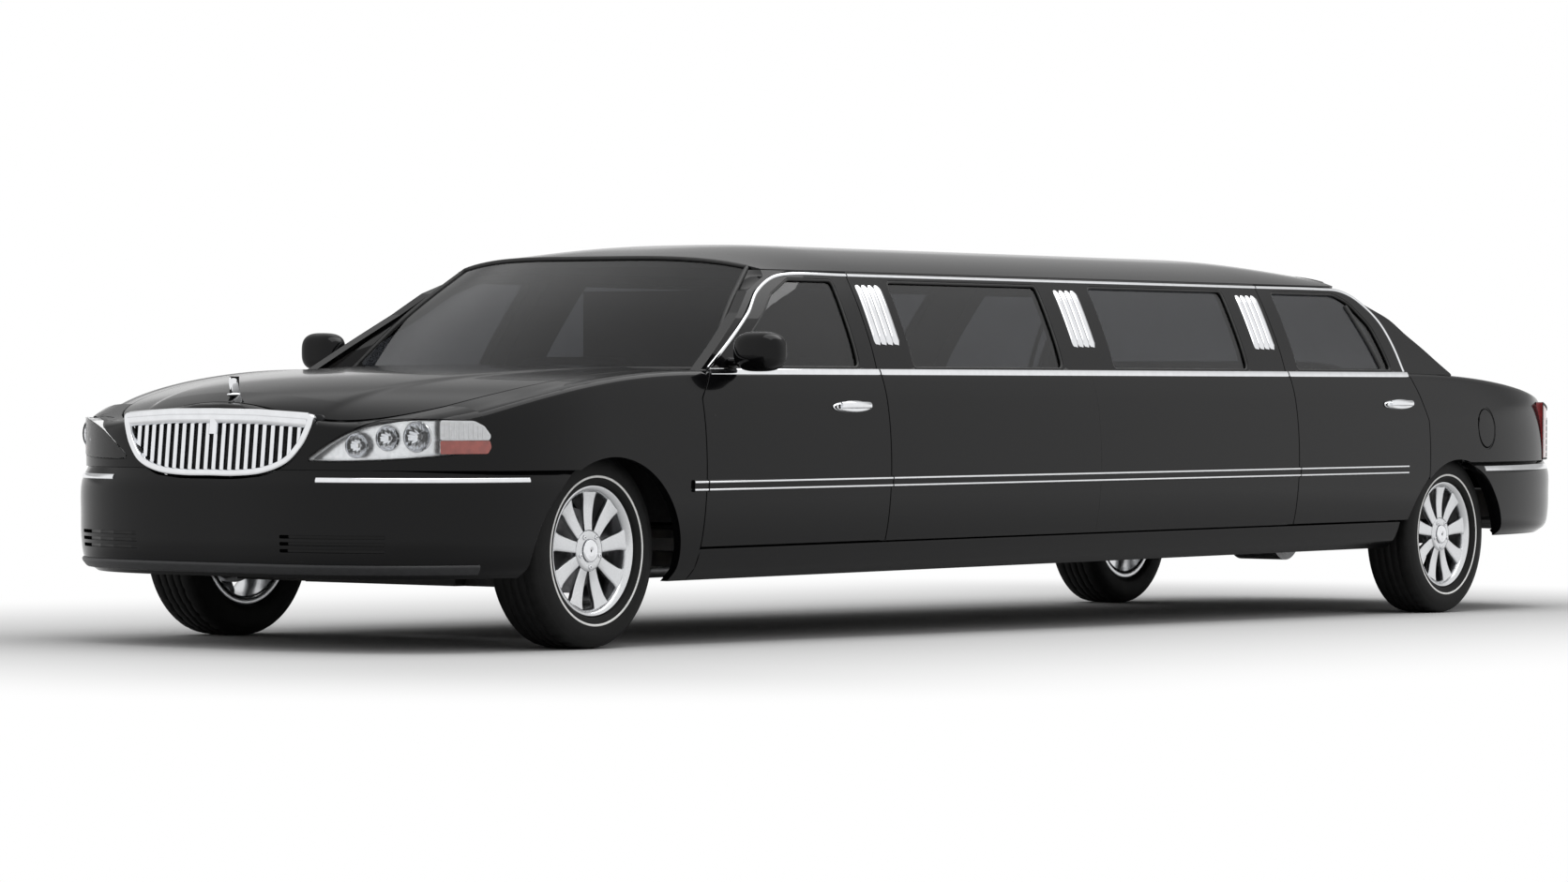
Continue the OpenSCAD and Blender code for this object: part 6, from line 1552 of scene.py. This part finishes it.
cushion("side_bench_pad", (side_x0, -bench_w, SIDE_BASE_Z), (side_x1, side_y1, SEAT_Z), 2, 0, 0.19)
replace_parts(seats[0], "seats")

DASH_X0, DASH_X1, DASH_HALF, DASH_LOW, DASH_TOP = FA - 1.010, FA - 0.602, 0.815, 0.620, BELT_Z - 0.1205
dash_section = curve([(DASH_X1, DASH_LOW), (DASH_X1, DASH_TOP - 0.02), (DASH_X1 - 0.03, DASH_TOP - 0.001),
                      (DASH_X0 + 0.12, DASH_TOP - 0.001), (DASH_X0 + 0.030, DASH_TOP - 0.020),
                      (DASH_X0 + 0.002, DASH_TOP - 0.060), (DASH_X0 + 0.020, DASH_TOP - 0.110),
                      (DASH_X0 + 0.090, DASH_LOW + 0.030), (DASH_X0 + 0.120, DASH_LOW)], 36)
dash = Bag().loft([[(x, y, z) for x, z in dash_section]
                   for y in np.linspace(-DASH_HALF + 0.002, DASH_HALF - 0.002, 24)])
dash.v[0], dash.n[0] = rake(dash.v[0]), rake_dir(dash.n[0])
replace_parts(dash.add("dash_cover", ROOT, TRIM, "trim"), "dashboard")
dash_trim, face = Bag(), DASH_X0 + 0.004
for y0 in (0.30, 0.46):
    dial = np.array([(face, y0 + y, DASH_TOP - 0.062 + z) for y, z in oval(0.050, 0.038, 32)])
    dash_trim.sweep(dial, np.tile([-1.0, 0, 0.1], (32, 1)), oval(0.004, 0.004, 8), True)
for y0 in (-0.62, -0.12, 0.12, 0.66):
    for i in range(4):
        slat = np.array([(face, y, DASH_TOP - 0.040 - 0.012 * i) for y in np.linspace(y0 - 0.055, y0 + 0.055, 6)])
        dash_trim.sweep(slat, np.tile([-1.0, 0, 0.2], (6, 1)), oval(0.0032, 0.0032, 6))
dash_trim.add("dash_trim", ROOT, CHROME, "chrome")

# Stage: a pale floor that turns white away from the car, in a white studio that is dimmer above the wall behind.
# Round the car the floor has its real cast shadow and also a painted shadow: its white glow grows from nothing at the
# car's footprint to full 3 m out.
scene = bpy.context.scene
scene.view_settings.view_transform = "Standard"
AHEAD = (-0.8088, -0.5881, 0.0)
DIM = 0.50
FLOOR_R, FLOOR_N = 120.0, 96


def fade(tree, value, lo, hi, to_lo=0.0, to_hi=1.0):
    """Smooth step of a value between two limits."""
    new = node(tree, "MapRange", Value=value, From_Min=lo, From_Max=hi, To_Min=to_lo, To_Max=to_hi)
    new.interpolation_type = "SMOOTHSTEP"
    return new.outputs["Result"]


def seen_rays(tree):
    """1 for what the camera sees, straight on, mirrored or through glass."""
    path = node(tree, "LightPath").outputs
    seen = math_node(tree, "MAXIMUM", path["Is Camera Ray"], path["Is Glossy Ray"])
    return math_node(tree, "MAXIMUM", seen, path["Is Transmission Ray"])


floor_mesh = bpy.data.meshes.new("studio_floor")
floor_mesh.from_pydata([(0, 0, 0)] + [(x, y, 0) for x, y in oval(FLOOR_R, FLOOR_R, FLOOR_N)], [],
                       [(0, 1 + i, 1 + (i + 1) % FLOOR_N) for i in range(FLOOR_N)])
floor_obj = bpy.data.objects.new("studio_floor", floor_mesh)
scene.collection.objects.link(floor_obj)
floor_mat = bpy.data.materials.new("studio_floor")
floor_mat.use_nodes = True
nt = floor_mat.node_tree
nt.nodes.clear()
place = node(nt, "SeparateXYZ", Vector=node(nt, "TexCoord").outputs["Object"])


def beyond(axis, half):
    """Distance outside the car's own footprint along one axis, which sets how far the painted shadow reaches."""
    size = math_node(nt, "ABSOLUTE", place.outputs[axis])
    return math_node(nt, "MAXIMUM", math_node(nt, "SUBTRACT", size, half), 0.0)


off_car = node(nt, "CombineXYZ", X=beyond("X", 4.3), Y=beyond("Y", 1.15)).outputs[0]
painted_shadow_distance = node(nt, "VectorMath", "LENGTH", i0=off_car).outputs["Value"]
# Painted shadow: seen rays get the white glow only away from the car's footprint, so the floor is grey round the car
# even where it is lit
floor_with_painted_shadow = node(nt, "MixShader", Fac=math_node(nt, "MULTIPLY", fade(nt, painted_shadow_distance, 0.0, 3.0), seen_rays(nt)),
             i1=node(nt, "BsdfDiffuse", Color=(0.50, 0.50, 0.50, 1)).outputs["BSDF"],
             i2=node(nt, "Emission", Strength=1.0).outputs["Emission"])
sided = node(nt, "MixShader", Fac=node(nt, "NewGeometry").outputs["Backfacing"], i1=floor_with_painted_shadow.outputs["Shader"],
             i2=node(nt, "BsdfTransparent").outputs["BSDF"])
node(nt, "OutputMaterial", Surface=sided.outputs["Shader"])
floor_mesh.materials.append(floor_mat)

world = bpy.data.worlds.new("studio")
scene.world = world
world.use_nodes = True
wt = world.node_tree
wt.nodes.clear()
ray = node(wt, "TexCoord").outputs["Generated"]
toward = node(wt, "VectorMath", "DOT_PRODUCT", i0=ray, i1=AHEAD).outputs["Value"]
height = node(wt, "SeparateXYZ", Vector=ray).outputs["Z"]
behind = math_node(wt, "MULTIPLY", fade(wt, toward, 0.35, 0.70), fade(wt, height, 0.40, 0.65, 1.0, 0.0))
lit = math_node(wt, "MAXIMUM", fade(wt, height, 0.10, 0.20, 1.0, 0.0), math_node(wt, "SUBTRACT", 1.0, behind))
shown = fade(wt, lit, 0.0, 1.0, DIM, 1.0)
bright = math_node(wt, "MAXIMUM", math_node(wt, "MULTIPLY", shown, fade(wt, height, 0.05, 0.30, 0.25, 1.0)),
                   math_node(wt, "MULTIPLY", shown, seen_rays(wt)))
backdrop = node(wt, "Background", Color=(1, 1, 1, 1), Strength=bright)
node(wt, "OutputWorld", Surface=backdrop.outputs["Background"])

soft = bpy.data.lights.new("soft_top", "AREA")
soft.shape = "RECTANGLE"
soft.size, soft.size_y = 12.0, 5.0
soft.energy = 420.0
soft_obj = bpy.data.objects.new("soft_top", soft)
soft_obj.location = (0.0, 1.5, 7.0)
soft_obj.rotation_euler = (math.radians(-12), 0, 0)
scene.collection.objects.link(soft_obj)

# Camera where the photograph was taken, from the wheels and the body's ends
YAW, PITCH, ROLL = 0.6286, -0.0021, 0.0099
CAMERA_AT = (18.256, 12.637, 0.776)
ahead = np.array([-math.cos(YAW) * math.cos(PITCH), -math.sin(YAW) * math.cos(PITCH), math.sin(PITCH)])
right = unit(np.cross(ahead, [0, 0, 1.0]))
upward = np.cross(right, ahead)
axes = (math.cos(ROLL) * right + math.sin(ROLL) * upward, math.cos(ROLL) * upward - math.sin(ROLL) * right, -ahead,
        CAMERA_AT)
cam = bpy.data.cameras.new("camera")
cam.sensor_width = 36.0
cam.sensor_fit = "HORIZONTAL"
cam.lens = 125.0
cam.clip_end = 300.0
cam_obj = bpy.data.objects.new("camera", cam)
cam_obj.matrix_world = Matrix([[float(axis[i]) for axis in axes] for i in range(3)] + [[0, 0, 0, 1]])
scene.collection.objects.link(cam_obj)
scene.camera = cam_obj
